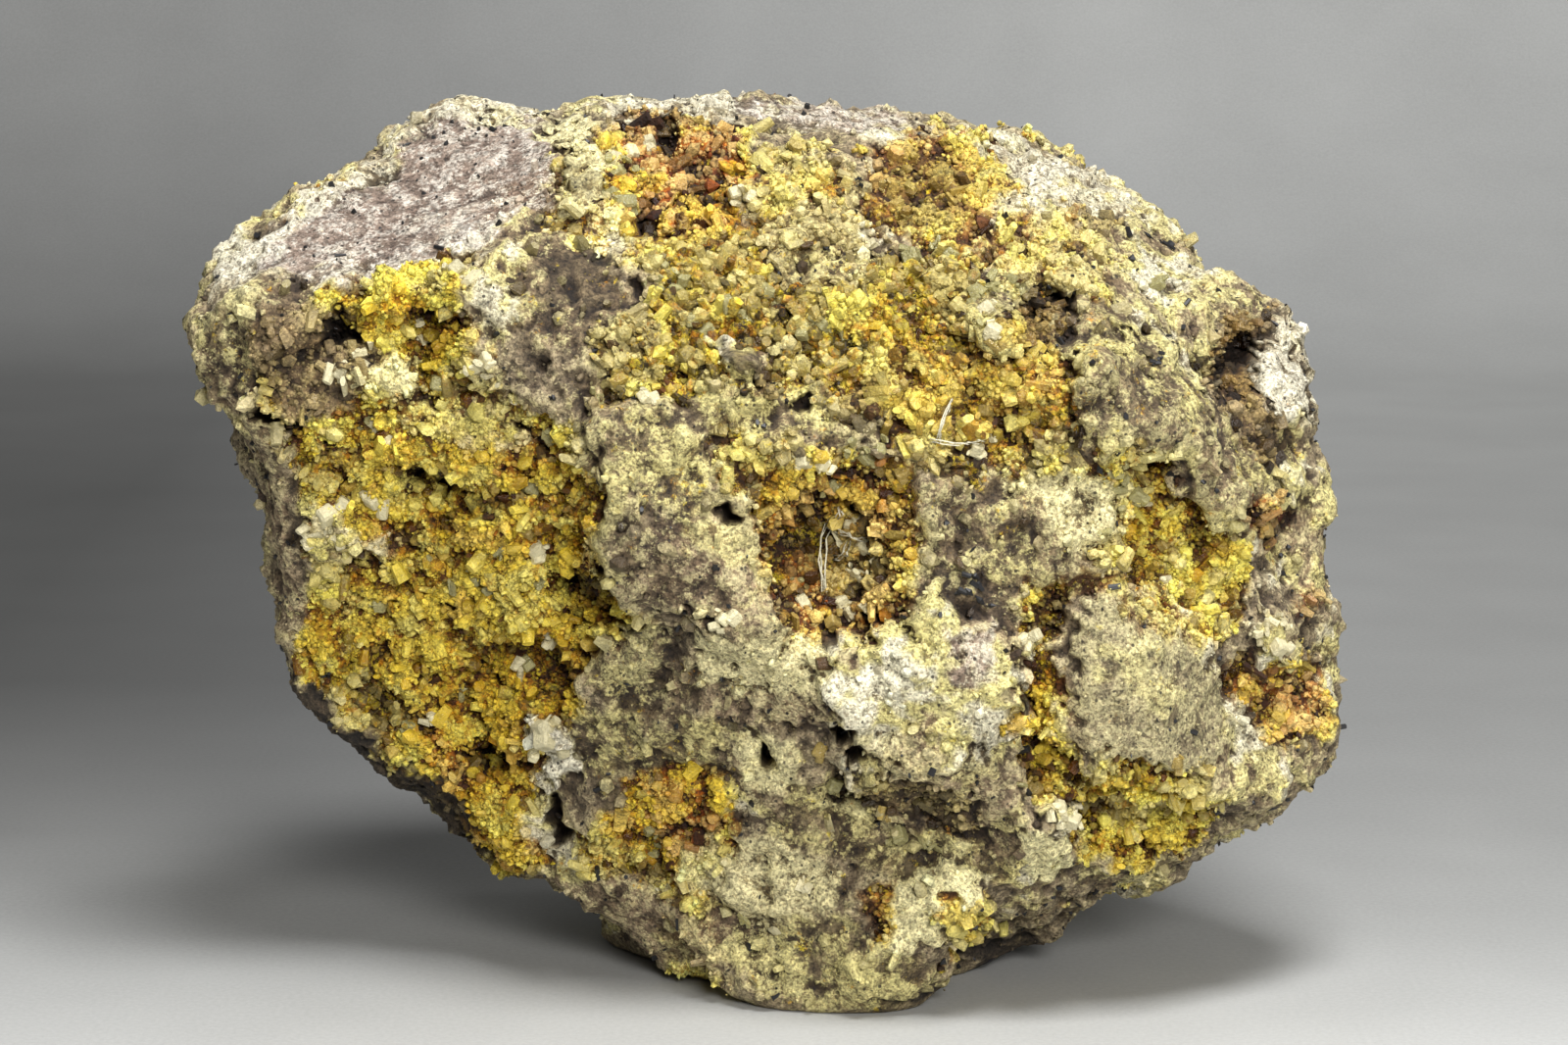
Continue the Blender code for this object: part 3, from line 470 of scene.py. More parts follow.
# Deep pits: middle and half widths in view points, turn in degrees and depth in mm.
pits = {
    "pocket": ((346, 334), (26, 18), 15, 3.2),
    "crevice": ((276, 432), (26, 8), -25, 2.6),
    "black pit": ((426, 486), (13, 14), 0, 2.4),
    "slot": ((452, 500), (9, 16), 30, 1.6),
    "left recess": ((505, 510), (34, 14), 10, 1.3),
    "bay corner": ((600, 600), (26, 22), -40, 2.4),
    "bay throat": ((632, 632), (22, 8), -20, 2.2),
    "lower crevice": ((566, 840), (8, 32), 0, 2.2),
    "low pocket": ((486, 776), (14, 18), -20, 2.0),
    "low pocket two": ((520, 780), (9, 10), 0, 1.5),
    "scar": ((540, 440), (16, 5), -20, 1.2),
    "rust pit one": ((682, 139), (12, 12), 0, 2.4),
    "rust pit two": ((643, 134), (10, 6), 0, 1.8),
    "rust pit three": ((662, 232), (14, 8), -30, 2.4),
    "rust pit four": ((692, 222), (10, 7), 20, 2.0),
    "rust pit five": ((728, 206), (12, 7), -10, 1.6),
    "arch pit": ((1086, 305), (14, 8), -15, 2.4),
    "arch pit two": ((1066, 330), (9, 7), 0, 1.6),
    "rim pit": ((1262, 362), (18, 20), -30, 2.6),
    "rim slot": ((1246, 392), (8, 16), 0, 1.4),
    "plate hole": ((742, 522), (11, 7), -25, 2.2),
    "hole": ((780, 781), (8, 13), 0, 2.8),
    "gap left": ((858, 752), (7, 11), 10, 2.6),
    "gap": ((872, 772), (8, 14), -30, 2.2),
    "vug pit": ((866, 520), (12, 9), 0, 1.6),
    "vug pit two": ((896, 640), (11, 8), 20, 1.5),
    "vug pit three": ((842, 650), (9, 8), 0, 1.4),
    "channel pit": ((1046, 720), (9, 14), 0, 1.9),
    "channel pit two": ((1060, 760), (8, 10), 0, 1.5),
    "low right pit": ((1140, 812), (10, 7), 0, 1.8),
    "low right pit two": ((1116, 852), (6, 14), 0, 1.3),
    "field pit": ((820, 412), (12, 7), 20, 1.6),
    "field pit two": ((700, 388), (10, 5), 0, 1.2),
    "field pit three": ((650, 300), (8, 8), 0, 1.0),
    "right pit": ((1176, 480), (8, 7), 0, 1.2),
    "side pit": ((1212, 560), (8, 6), 0, 0.8),
    "small pit a": ((470, 620), (8, 6), 0, 1.0),
    "small pit b": ((420, 560), (10, 6), 30, 1.1),
    "small pit c": ((400, 620), (8, 7), 0, 1.0),
    "small pit d": ((505, 700), (9, 7), 0, 1.1),
    "small pit e": ((450, 700), (8, 6), 0, 1.0),
    "small pit f": ((436, 410), (12, 6), -20, 1.2),
    "small pit g": ((330, 450), (8, 5), 0, 1.0),
    "small pit h": ((556, 376), (7, 5), 0, 0.8),
}

# Each kind of ground: its bare, pale and deep tones and the bloom over it (0 to 255), how lumpy it is, how
# much chalky bloom and sulphur powder lies on it, and how many dust grains and crystals it bears.
kindColumns = ("bare", "pale", "deep", "bloom", "lumpy", "chalk", "powder", "grains", "crystals")
kindRows = {
    "tuff": ((116, 102, 80), (168, 152, 120), (66, 54, 40), (186, 172, 132), 0.06, 0.34, 0.03, 0.02, 0.0),
    "lilac": ((140, 122, 110), (192, 176, 162), (84, 68, 60), (214, 206, 196),
              0.0, 0.46, 0.0, 0.0, 0.0),
    "mauve": ((128, 108, 84), (176, 156, 124), (78, 60, 46), (200, 186, 142), 0.0, 0.44, 0.0, 0.01, 0.0),
    "darkmauve": ((96, 80, 60), (144, 126, 94), (46, 36, 26), (190, 180, 130),
                  0.12, 0.36, 0.18, 0.05, 0.04),
    "grey": ((126, 114, 86), (170, 158, 122), (80, 68, 50), (194, 184, 138), 0.0, 0.48, 0.12, 0.02, 0.0),
    "greycream": ((112, 98, 68), (162, 148, 100), (58, 46, 30), (204, 194, 128),
                  0.08, 0.50, 0.24, 0.04, 0.03),
    "cream": ((128, 112, 68), (184, 168, 106), (70, 56, 32), (224, 214, 144), 0.08, 0.66, 0.20, 0.04, 0.02),
    "white": ((154, 142, 114), (206, 196, 166), (92, 80, 58), (236, 231, 210),
              0.08, 0.70, 0.05, 0.03, 0.02),
    "bone": ((170, 154, 104), (218, 206, 146), (96, 80, 48), (244, 235, 180),
             0.08, 0.86, 0.10, 0.04, 0.02),
    "pale": ((148, 126, 52), (196, 180, 106), (84, 60, 16), (214, 200, 130), 0.60, 0.48, 0.40, 0.60, 0.60),
    "yellow": ((192, 140, 14), (224, 198, 58), (100, 56, 2), (230, 218, 102), 0.95, 0.55, 0.44, 1.00, 0.16),
    "ochre": ((170, 104, 2), (208, 160, 20), (78, 38, 0), (222, 194, 62), 1.00, 0.41, 0.44, 1.00, 0.14),
    "rust": ((138, 56, 2), (178, 98, 16), (50, 20, 2), (222, 190, 118), 0.85, 0.32, 0.16, 0.75, 0.40),
    "olive": ((76, 60, 16), (122, 104, 42), (36, 24, 4), (170, 154, 90), 0.80, 0.30, 0.52, 0.55, 1.6),
    "brown": ((66, 44, 20), (108, 80, 40), (28, 17, 8), (146, 120, 68), 0.60, 0.24, 0.16, 0.60, 0.30),
    "dark": ((38, 31, 24), (72, 60, 46), (16, 12, 9), (92, 80, 60), 0.10, 0.0, 0.0, 0.03, 0.0),
}
groundKinds = {kind: dict(zip(kindColumns, row)) for kind, row in kindRows.items()}

# Where one kind turns into another inside a patch: from, to, share and the drift noise's limits.
groundDrift = [
    ("yellow", "pale", 0.85, 0.04, 0.14), ("yellow", "ochre", 0.8, -0.08, -0.20),
    ("ochre", "yellow", 0.85, 0.02, 0.12), ("ochre", "rust", 0.55, -0.16, -0.30),
    ("olive", "pale", 0.8, 0.06, 0.16), ("olive", "yellow", 0.8, -0.05, -0.15),
    ("cream", "mauve", 0.85, 0.10, 0.18), ("cream", "white", 0.8, -0.10, -0.18),
    ("greycream", "darkmauve", 0.8, 0.08, 0.16), ("greycream", "cream", 0.8, -0.08, -0.16),
    ("mauve", "darkmauve", 0.7, 0.16, 0.24), ("mauve", "cream", 0.7, -0.14, -0.22),
    ("darkmauve", "greycream", 0.8, -0.06, -0.14), ("grey", "cream", 0.6, -0.16, -0.24),
    ("rust", "brown", 0.6, 0.10, 0.18), ("rust", "ochre", 0.7, -0.08, -0.16),
]

bodyCut = {
    "grain": 0.74,              # voxel of the even skin, mm
    "smoothRounds": 3,          # takes the facets' creases away
    "leanShare": 0.65,          # share of the triangles kept, so that flat places hold fewer
    "frontDepth": (8.0, 17.0),  # between these depths (y) the front's looks fade out
    "frontLean": (0.1, 0.5),    # and between these slopes away from the front
    "bedRise": 1.0,             # how far the lined ground stands over the bare hollow
    "edgeRagged": 1.1,          # how far a patch's edge strays
    "pitRagged": 0.9,           # how far a pit's edge strays
    "foot": (0.1, 2.5),         # the relief grows between these heights, so that the foot stays flat
    # height and width of the relief, mm
    "waves": (0.70, 7.0),
    "chips": (0.34, 2.4),
    "grit": (0.20, 0.9),
    "dust": (0.12, 0.4),
    "lumps": ((3.6, 6.0), (2.4, 2.8), (1.1, 1.3)),
    "flakes": 3.4,              # width of the flakes between the chips
    "ledges": ((8.0, 1.5, 0.75), (3.0, 0.5, 0.25)),  # width, height and step of broken ledges
    "paintedShadeTone": (58, 34, 12),  # painted shade: the tone that the deepest places are darkened towards
}


def insideDistance(points, outline):
    start = np.array(outline, float)
    run = np.roll(start, -1, axis=0) - start
    best = np.full(len(points), 1e9)
    inside = np.zeros(len(points), bool)
    x, z = points[:, 0], points[:, 1]
    for (x0, z0), (dx, dz) in zip(start, run):
        along = np.clip(((x - x0) * dx + (z - z0) * dz) / (dx * dx + dz * dz), 0.0, 1.0)
        best = np.minimum(best, np.hypot(x - x0 - along * dx, z - z0 - along * dz))
        if dz != 0.0:
            crosses = (z0 > z) != (z0 + dz > z)
            inside ^= crosses & (x < x0 + (z - z0) / dz * dx)
    return np.where(inside, best, -best)


def smoothstep(low, high, value):
    t = np.clip((value - low) / (high - low), 0.0, 1.0)
    return t * t * (3.0 - 2.0 * t)


def noiseAt(places, size, octaves=1, shift=0.0):
    # summed Perlin noise at each place, about -1 to 1
    offset = Vector((shift, shift * 0.7, -shift))
    if octaves == 1:
        return np.array([noise.noise(Vector(p) / size + offset) for p in places])
    return np.array([noise.fractal(Vector(p) / size + offset, 1.0, 2.1, octaves) for p in places])


def cellsAt(places, size, shift=0.0):
    # distance to the nearest and the second nearest cell middle
    offset = Vector((shift, -shift, shift))
    found = [noise.voronoi(Vector(p) / size + offset)[0][:2] for p in places]
    return np.array(found)


def readPlaces(mesh, what="co"):
    values = np.empty(len(mesh.vertices) * 3)
    mesh.vertices.foreach_get(what, values)
    return values.reshape(-1, 3)


def frontShare(places, normals):
    # 1 on what faces the front or leans back a little, 0 on the back
    deep = smoothstep(*bodyCut["frontDepth"], places[:, 1])
    return (1.0 - deep) * (1.0 - smoothstep(*bodyCut["frontLean"], normals[:, 1]))


def groundShares(places, normals):
    # how much of each kind of ground every place is
    stray = np.stack([noiseAt(places, 3.2, 1, 5.0), noiseAt(places, 3.2, 1, 9.0)], 1)
    fray = np.stack([noiseAt(places, 1.0, 2, 15.0), noiseAt(places, 1.0, 2, 19.0)], 1)
    flat = places[:, [0, 2]] + bodyCut["edgeRagged"] * (1.2 * stray + 0.9 * fray)
    shares = {kind: np.zeros(len(places)) for kind in groundKinds}
    wander = noiseAt(places, 9.0, 3, 31.0) + 0.35 * noiseAt(places, 1.6, 2, 37.0)
    shares["cream"] = 0.85 * smoothstep(0.12, 0.42, wander)
    shares["darkmauve"] = 0.7 * smoothstep(0.2, 0.5, -wander)
    gold = noiseAt(places, 13.0, 3, 47.0) + 0.3 * noiseAt(places, 1.4, 2, 53.0)
    shares["yellow"] = 0.8 * smoothstep(0.46, 0.62, gold)
    front = frontShare(places, normals)
    steps = np.zeros(len(places))
    for kind, share, soft, step, outline in groundAreas:
        depth = insideDistance(flat, outline)
        weight = share * front * smoothstep(-0.5 * soft, 0.5 * soft, depth)
        if step:
            steps += step * front * smoothstep(-0.3, 0.4, depth)
        for other in shares:
            shares[other] *= 1.0 - weight
        shares[kind] += weight
    shares["tuff"] = np.clip(1.0 - sum(shares.values()), 0.0, 1.0)
    drift = noiseAt(places, 5.5, 4, 41.0) * 0.6 + noiseAt(places, 1.7, 3, 43.0) * 0.3
    before = {kind: share.copy() for kind, share in shares.items()}
    for kind, other, share, start, end in groundDrift:
        turned = before[kind] * share * smoothstep(0.0, 1.0, (drift - start) / (end - start))
        shares[kind] -= turned
        shares[other] += turned
    return shares, steps


def pitDepth(places, normals):
    stray = np.stack([noiseAt(places, 1.5, 2, 61.0), noiseAt(places, 1.5, 2, 67.0)], 1)
    flat = places[:, [0, 2]] + bodyCut["pitRagged"] * stray
    front = frontShare(places, normals)
    deep = np.zeros(len(places))
    for middle, widths, turn, depth in pits.values():
        angle = math.radians(turn)
        x, z, wide, tall = sized(*middle, *widths)
        across = flat - np.array((x, z))
        along = across[:, 0] * math.cos(angle) + across[:, 1] * math.sin(angle)
        beside = across[:, 1] * math.cos(angle) - across[:, 0] * math.sin(angle)
        reach = np.hypot(along / wide, beside / tall)
        deep = np.maximum(deep, 1.4 * depth * smoothstep(0.0, 0.75, 1.35 - reach))
    return deep * front


def toneMix(kind, level):
    # deep tone at 0, middle tone at a half, pale tone at 1
    middle, pale, deep = (np.array(linear(groundKinds[kind][tone])) for tone in ("bare", "pale", "deep"))
    level = np.clip(level, 0.0, 1.0)[:, None]
    low = deep + (middle - deep) * np.minimum(level * 2.0, 1.0)
    return low + (pale - middle) * np.maximum(level * 2.0 - 1.0, 0.0)


def blended(shares, column):
    # what each place has of one column of the kinds' table
    return sum(share * groundKinds[kind][column] for kind, share in shares.items())


def mergedCopy(node):
    # a CAD node's loose triangles, joined into one closed mesh
    bm = bmesh.new()
    bm.from_mesh(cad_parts[node].data)
    bmesh.ops.remove_doubles(bm, verts=bm.verts, dist=0.01 * mm)
    mesh = bpy.data.meshes.new(node + "Copy")
    bm.to_mesh(mesh)
    bm.free()
    return mesh


def applied(name, mesh, kind, **settings):
    # the mesh with one modifier applied
    obj = bpy.data.objects.new(name, mesh)
    bpy.context.scene.collection.objects.link(obj)
    modifier = obj.modifiers.new(name, kind)
    for key, value in settings.items():
        setattr(modifier, key, value)
    graph = bpy.context.evaluated_depsgraph_get()
    result = bpy.data.meshes.new_from_object(obj.evaluated_get(graph))
    bpy.data.objects.remove(obj)
    return result


def addPiece(name, mesh, material, smooth=False):
    obj = bpy.data.objects.new(name, mesh)
    bpy.context.scene.collection.objects.link(obj)
    mesh.materials.clear()
    mesh.materials.append(material)
    if smooth:
        mesh.polygons.foreach_set("use_smooth", [True] * len(mesh.polygons))
    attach(obj, "root")
    return obj


def rockMesh():
    # an even skin over the CAD rock, smoothed, and finer where it is seen from the front
    voxel = bodyCut["grain"] * mm
    mesh = applied("evenRock", mergedCopy("altered_tuff"), "REMESH", mode="VOXEL", voxel_size=voxel)
    bm = bmesh.new()
    bm.from_mesh(mesh)
    for _ in range(bodyCut["smoothRounds"]):
        bmesh.ops.smooth_vert(bm, verts=bm.verts, factor=0.5, use_axis_x=True, use_axis_y=True,
                              use_axis_z=True)
    bm.normal_update()
    shown = {v for v in bm.verts if v.normal.y < 0.05 and v.co.y < 0.012}
    edges = [e for e in bm.edges if e.verts[0] in shown and e.verts[1] in shown]
    bmesh.ops.subdivide_edges(bm, edges=edges, cuts=1, use_grid_fill=True, smooth=0.0)
    bmesh.ops.triangulate(bm, faces=[f for f in bm.faces if len(f.verts) > 4])
    bm.to_mesh(mesh)
    bm.free()
    return mesh


def hollowness(mesh, places, rounds):
    # how far each place lies below the ground around it, mm
    ends = np.empty(len(mesh.edges) * 2, int)
    mesh.edges.foreach_get("vertices", ends)
    first, second = ends.reshape(-1, 2).T
    count = len(places)
    links = np.bincount(first, minlength=count) + np.bincount(second, minlength=count)
    smooth = places.copy()
    for _ in range(rounds):
        for axis in range(3):
            total = np.bincount(first, smooth[second, axis], count)
            total += np.bincount(second, smooth[first, axis], count)
            smooth[:, axis] = 0.5 * smooth[:, axis] + 0.5 * total / links
    return ((smooth - places) * readPlaces(mesh, "normal")).sum(1)


def wave(places, name, octaves, shift):
    height, width = bodyCut[name]
    return height * noiseAt(places, width, octaves, shift)


def shapeRock(mesh):
    # gives the rock its relief and colours, the colours with painted shade in its hollows, pits and valleys,
    # and returns each place's ground, paint and nearby hollowness
    places = readPlaces(mesh) / mm
    normals = readPlaces(mesh, "normal")
    shares, steps = groundShares(places, normals)
    flat = places[:, [0, 2]]
    lining = np.max([smoothstep(-0.6, 1.6, insideDistance(flat, line)) for line in hollows.values()], 0)
    lining *= frontShare(places, normals)
    pit = pitDepth(places, normals)
    lumpy = blended(shares, "lumpy")
    lumps = np.zeros(len(places))
    for height, width in bodyCut["lumps"]:
        lumps += height * (0.3 - cellsAt(places, width, width)[:, 0] ** 2)
    relief = wave(places, "waves", 3, 71.0)
    flakes = cellsAt(places, bodyCut["flakes"], 11.0)
    height, width = bodyCut["chips"]
    relief += height * (noiseAt(places, width, 3, 73.0) + 0.6 * (0.4 - flakes[:, 1] + flakes[:, 0]))
    relief += wave(places, "grit", 2, 79.0)
    for width, height, step in bodyCut["ledges"]:
        level = noiseAt(places, width, 4, 101.0 + width) * height / step
        broken = np.floor(level) + smoothstep(0.30, 0.70, level - np.floor(level))
        relief += step * broken * (1.0 - 0.6 * lumpy)
    relief += wave(places, "dust", 1, 83.0)
    calm = 1.0 - 0.8 * (shares["mauve"] + shares["lilac"]) - 0.75 * shares["grey"]
    calm -= 0.3 * shares["greycream"]
    rise = calm * relief + lumpy * lumps
    foot = smoothstep(*bodyCut["foot"], places[:, 2])
    moved = places + normals * (rise * foot)[:, None]
    moved[:, 1] -= (bodyCut["bedRise"] * lining + steps - pit) * foot
    moved[:, 2] = np.maximum(moved[:, 2], 0.0)
    mesh.vertices.foreach_set("co", (moved * mm).ravel())
    mesh.update()
    near = hollowness(mesh, moved, 10)
    wide = hollowness(mesh, moved, 90)
    knob = lumpy * np.clip(lumps / bodyCut["lumps"][0][0] * 1.6, -1.0, 0.8)
    # the tone is darker in hollows and paler on the knobs: partly the crust's own colour and partly painted
    # shade and painted light
    level = 0.50 + 0.34 * noiseAt(places, 2.6, 3, 89.0) + 0.34 * noiseAt(places, 0.7, 2, 97.0)
    level -= (1.5 + 0.8 * lumpy) * near + (0.45 + 0.2 * lumpy) * wide
    level += 0.6 * knob
    # painted shading: the tint, the bloom and the chalk are darkened in wide hollows, in pits and between
    # the knobs, and the deepest places are tinted towards the painted shade tone
    paintedShading = np.exp(-0.5 * np.maximum(wide - 0.2, 0.0) - 0.5 * pit - 0.9 * np.maximum(-knob - 0.1, 0.0))
    shade = paintedShading[:, None]
    colour = sum(share[:, None] * toneMix(kind, level) for kind, share in shares.items()) * shade
    colour = colour + np.array(linear(bodyCut["paintedShadeTone"])) * (1.0 - shade) * 0.3
    # less chalky bloom in hollows and more on the knobs: partly real bloom and partly painted shade and
    # painted light
    chalk = blended(shares, "chalk") - 0.35 * near - 0.15 * wide + 0.7 * knob
    powder = blended(shares, "powder") * (0.4 + 0.6 * paintedShading) - 0.25 * knob
    cover = np.clip(np.stack([chalk * paintedShading, powder, lumpy], 1), 0.0, 1.0)
    blooms = {kind: np.array(linear(row["bloom"])) for kind, row in groundKinds.items()}
    bloom = sum(share[:, None] * blooms[kind] for kind, share in shares.items()) * shade
    for name, values in (("tint", colour), ("cover", cover), ("bloom", bloom)):
        setColours(mesh, name, values)
    return shares, np.hstack([colour, bloom, cover]), np.clip(near, -1.0, 1.0)


def setColours(mesh, name, colour):
    layer = mesh.attributes.new(name, "FLOAT_COLOR", "POINT")
    full = np.ones((len(colour), 4), np.float32)
    full[:, :3] = colour
    layer.data.foreach_set("color", full.ravel())


def weathered(finish, tint):
    # pale bloom and sulphur powder over the bare tone, in crisp specks and blots
    cover = finish.node("ShaderNodeSeparateColor", {}, {"Color": finish.attribute("cover", "Color")})
    chalk, powder = cover, Wire(finish, cover.socket.node.outputs["Green"])
    blot = finish.noise(2.0, 7.0, 0.8)
    fleck = finish.noise(0.6, 5.0, 0.8, 4.0)
    crust = (blot * 0.58 + fleck * 0.42 + chalk * 0.34).clamped(0.65, 0.685)
    colour = finish.mix(crust * 0.82, tint, finish.attribute("bloom", "Color"))
    dusting = (finish.noise(2.3, 6.0, 0.8, 6.0) * 0.62 + fleck * 0.38 + powder * 0.30).clamped(0.63, 0.67)
    dustTone = finish.mix(finish.noise(1.1, 3.0, 0.6, 14.0).clamped(0.42, 0.58), linear((180, 118, 4)),
                          linear((214, 190, 40)))
    colour = finish.mix(dusting * 0.75, colour, dustTone)
    granules = finish.speckle(0.20) * 0.55 + finish.speckle(0.50) * 0.45
    scaled = {0: colour, "Scale": granules * 1.34 + 0.28}
    return finish.node("ShaderNodeVectorMath", {"operation": "SCALE"}, scaled), fleck


def rockFinish():
    finish = Finish("brokenTuff")
    colour, fleck = weathered(finish, finish.attribute("tint", "Color"))
    fine = finish.noise(0.28, 4.0, 0.7, 2.0)
    pores = finish.cells(0.8)
    colour = finish.mix((1.0 - fine).clamped(0.50, 0.60) * 0.65, colour, linear((116, 94, 74)), "MULTIPLY")
    dots = (0.22 - pores).clamped(0.0, 0.06) * finish.noise(2.4, 1.0, 0.5, 8.0).clamped(0.50, 0.56)
    colour = finish.mix(dots * 0.85, colour, linear((34, 28, 26)))
    height = fine * 0.50 + fleck * 0.50 - finish.cells(0.30) * 0.20
    rough = 0.90 - fine * 0.12
    return finish.shade(Base_Color=colour, Roughness=rough, Normal=finish.bump(height, 0.22, 1.0))


# The hollows that crystals line, each with the CAD crust that it holds: outline (x, z) in mm.
hollows = {
    "left_druse": [
        (-43.1, 58.3), (-39.9, 61.0), (-31.7, 62.2), (-26.5, 64.6), (-24.4, 63.1), (-23.9, 58.7),
        (-20.4, 56.0), (-15.8, 55.3), (-15.2, 50.8), (-14.2, 47.1), (-15.3, 42.5), (-14.6, 37.2),
        (-12.0, 33.8), (-13.6, 31.0), (-16.2, 27.2), (-19.7, 24.8), (-20.0, 21.0), (-18.6, 17.8),
        (-19.0, 13.6), (-22.4, 14.8), (-26.5, 18.0), (-30.2, 23.0), (-33.8, 26.4), (-39.5, 29.4),
        (-40.6, 32.6), (-40.4, 38.4), (-40.3, 45.5), (-39.9, 50.4), (-41.6, 54.2)],
    "rusty_druse": [
        (-13.6, 73.0), (-12.1, 75.0), (-8.0, 75.6), (-3.6, 74.9), (-2.0, 73.2), (-2.1, 71.0),
        (-3.9, 69.0), (-6.8, 67.4), (-10.6, 66.9), (-12.8, 69.0)],
    "middle_druse": [
        (-13.0, 67.2), (-10.6, 65.2), (-6.8, 65.8), (-3.4, 66.6), (-2.6, 64.6), (0.5, 62.2),
        (7.4, 62.8), (9.5, 66.0), (7.6, 70.0), (9.0, 73.2), (13.6, 73.6), (17.4, 72.6),
        (18.6, 70.2), (17.6, 67.6), (19.6, 65.0), (24.4, 62.2), (24.8, 58.7), (23.4, 55.8),
        (25.4, 53.3), (23.5, 50.5), (19.8, 48.1), (16.1, 45.8), (12.0, 46.0), (9.2, 47.8),
        (5.2, 49.9), (4.2, 51.8), (0.9, 53.6), (-4.4, 53.4), (-10.6, 53.9), (-13.2, 56.0),
        (-9.8, 59.2), (-9.4, 62.5)],
    "vug_druse": [
        (0.9, 47.8), (4.6, 48.2), (8.6, 46.6), (11.2, 43.8), (10.9, 38.4), (9.5, 34.2),
        (7.3, 32.7), (4.0, 32.3), (1.4, 33.3), (-0.1, 37.2), (-0.3, 41.4)],
    "right_druse": [
        (26.6, 40.6), (29.6, 45.4), (28.8, 49.9), (30.9, 50.9), (33.5, 48.3), (35.2, 45.3),
        (37.6, 42.8), (37.4, 39.2), (39.0, 35.9), (37.6, 33.1), (34.4, 33.5), (31.9, 36.3),
        (28.3, 37.4)],
    "channel_druse": [
        (22.3, 36.7), (25.4, 37.4), (26.9, 35.8), (24.8, 34.4), (24.2, 29.6), (25.6, 25.0),
        (27.0, 21.9), (30.0, 20.5), (33.3, 21.6), (37.8, 21.2), (37.6, 18.2), (34.0, 14.8),
        (30.9, 13.2), (26.5, 13.8), (24.9, 17.3), (22.5, 20.3), (19.8, 21.6), (19.0, 25.0),
        (20.4, 28.8), (20.7, 33.0)],
    "lower_druse": [
        (-16.4, 16.1), (-12.4, 20.3), (-8.2, 20.8), (-3.7, 19.5), (-3.1, 16.1), (-4.5, 13.5),
        (-8.3, 12.7), (-11.6, 12.1), (-14.9, 13.7)],
    "rim_druse": [
        (35.1, 57.9), (37.7, 58.8), (40.2, 57.9), (39.8, 54.9), (41.7, 52.0), (42.2, 48.4),
        (40.6, 45.6), (38.2, 48.9), (36.9, 52.5), (34.9, 54.9)],
    "edge_druse": [
        (39.6, 29.6), (42.2, 31.7), (45.0, 31.2), (45.8, 28.8), (45.3, 25.8), (42.4, 24.7),
        (40.0, 26.7)],
}

rock = rockMesh()
rockShares, rockPaint, rockNear = shapeRock(rock)
leanRock = applied("leanRock", rock, "DECIMATE", ratio=bodyCut["leanShare"])
rockPiece = addPiece("brokenTuffBody", leanRock, rockFinish(), smooth=True)
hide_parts("altered_tuff")
leanRock.calc_loop_triangles()
print("rock", len(rock.polygons), "faces, thinned to", len(leanRock.loop_triangles), "triangles")

surface = BVHTree.FromPolygons([v.co for v in rock.vertices], [p.vertices for p in rock.polygons])


def crystalShape(sides, top, thick, tall):
    # a coffin-shaped tablet that narrows towards its free end
    bm = bmesh.new()
    bmesh.ops.create_cone(bm, cap_ends=True, segments=sides, radius1=0.5, radius2=0.5 * top, depth=tall)
    bmesh.ops.scale(bm, vec=(1.0, thick, 1.0), verts=bm.verts)
    bmesh.ops.triangulate(bm, faces=bm.faces)
    return packedShape(bm)


def roundGrain():
    bm = bmesh.new()
    bmesh.ops.create_icosphere(bm, subdivisions=1, radius=0.5)
    return packedShape(bm)


def pebble(sides):
    bm = bmesh.new()
    bmesh.ops.create_uvsphere(bm, u_segments=sides, v_segments=2, radius=0.5)
    return packedShape(bm)


def bluntBlock():
    bm = bmesh.new()
    bmesh.ops.create_cube(bm, size=1.0)
    bmesh.ops.bevel(bm, geom=bm.verts[:] + bm.edges[:], offset=0.14, offset_type="OFFSET", segments=1,
                    profile=0.5, affect="EDGES", material=-1)
    bmesh.ops.triangulate(bm, faces=bm.faces)
    return packedShape(bm)


def packedShape(bm):
    # sorted, because triangulate lists the same faces in another order each run
    bm.verts.index_update()
    verts = np.array([v.co for v in bm.verts])
    faces = np.array(sorted([v.index for v in f.verts] for f in bm.faces))
    bm.free()
    return verts, faces


def turnFrames(normals, lean):
    # for each crystal, axes that stand on its ground, lean at random and face any way
    count = len(normals)
    up = normals + lean * dice.normal(size=(count, 3))
    up /= np.linalg.norm(up, axis=1)[:, None]
    side = np.cross(up, dice.normal(size=(count, 3)))
    side /= np.linalg.norm(side, axis=1)[:, None]
    return np.stack([side, np.cross(up, side), up], 2)


def scatter(shape, places, axes, sizes, stretch):
    # copies of one shape: (vertices, faces) with each copy turned and sized
    verts, faces = shape
    scaled = verts[None, :, :] * sizes[:, None, None] * stretch[:, None, :]
    moved = np.einsum("nij,nvj->nvi", axes, scaled) + places[:, None, :]
    shift = (np.arange(len(places)) * len(verts))[:, None, None]
    return moved.reshape(-1, 3), (faces[None, :, :] + shift).reshape(-1, 3)


def joinedMesh(name, parts):
    # parts: list of (vertices, faces, paint, smooth); paint holds tint, bloom and cover
    starts = np.cumsum([0] + [len(part[0]) for part in parts])
    verts, paint = (np.concatenate([part[i] for part in parts]) for i in (0, 2))
    faces = np.concatenate([part[1] + start for part, start in zip(parts, starts)])
    smooth = np.concatenate([np.full(len(part[1]), part[3]) for part in parts])
    mesh = bpy.data.meshes.new(name)
    mesh.vertices.add(len(verts))
    mesh.vertices.foreach_set("co", (verts * mm).ravel())
    mesh.loops.add(faces.size)
    mesh.loops.foreach_set("vertex_index", faces.ravel().astype(np.int32))
    mesh.polygons.add(len(faces))
    mesh.polygons.foreach_set("loop_start", np.arange(0, faces.size, 3, dtype=np.int32))
    mesh.polygons.foreach_set("use_smooth", smooth)
    mesh.update(calc_edges=True)
    for index, layer in enumerate(("tint", "bloom", "cover")):
        setColours(mesh, layer, paint[:, index * 3:index * 3 + 3])
    return mesh


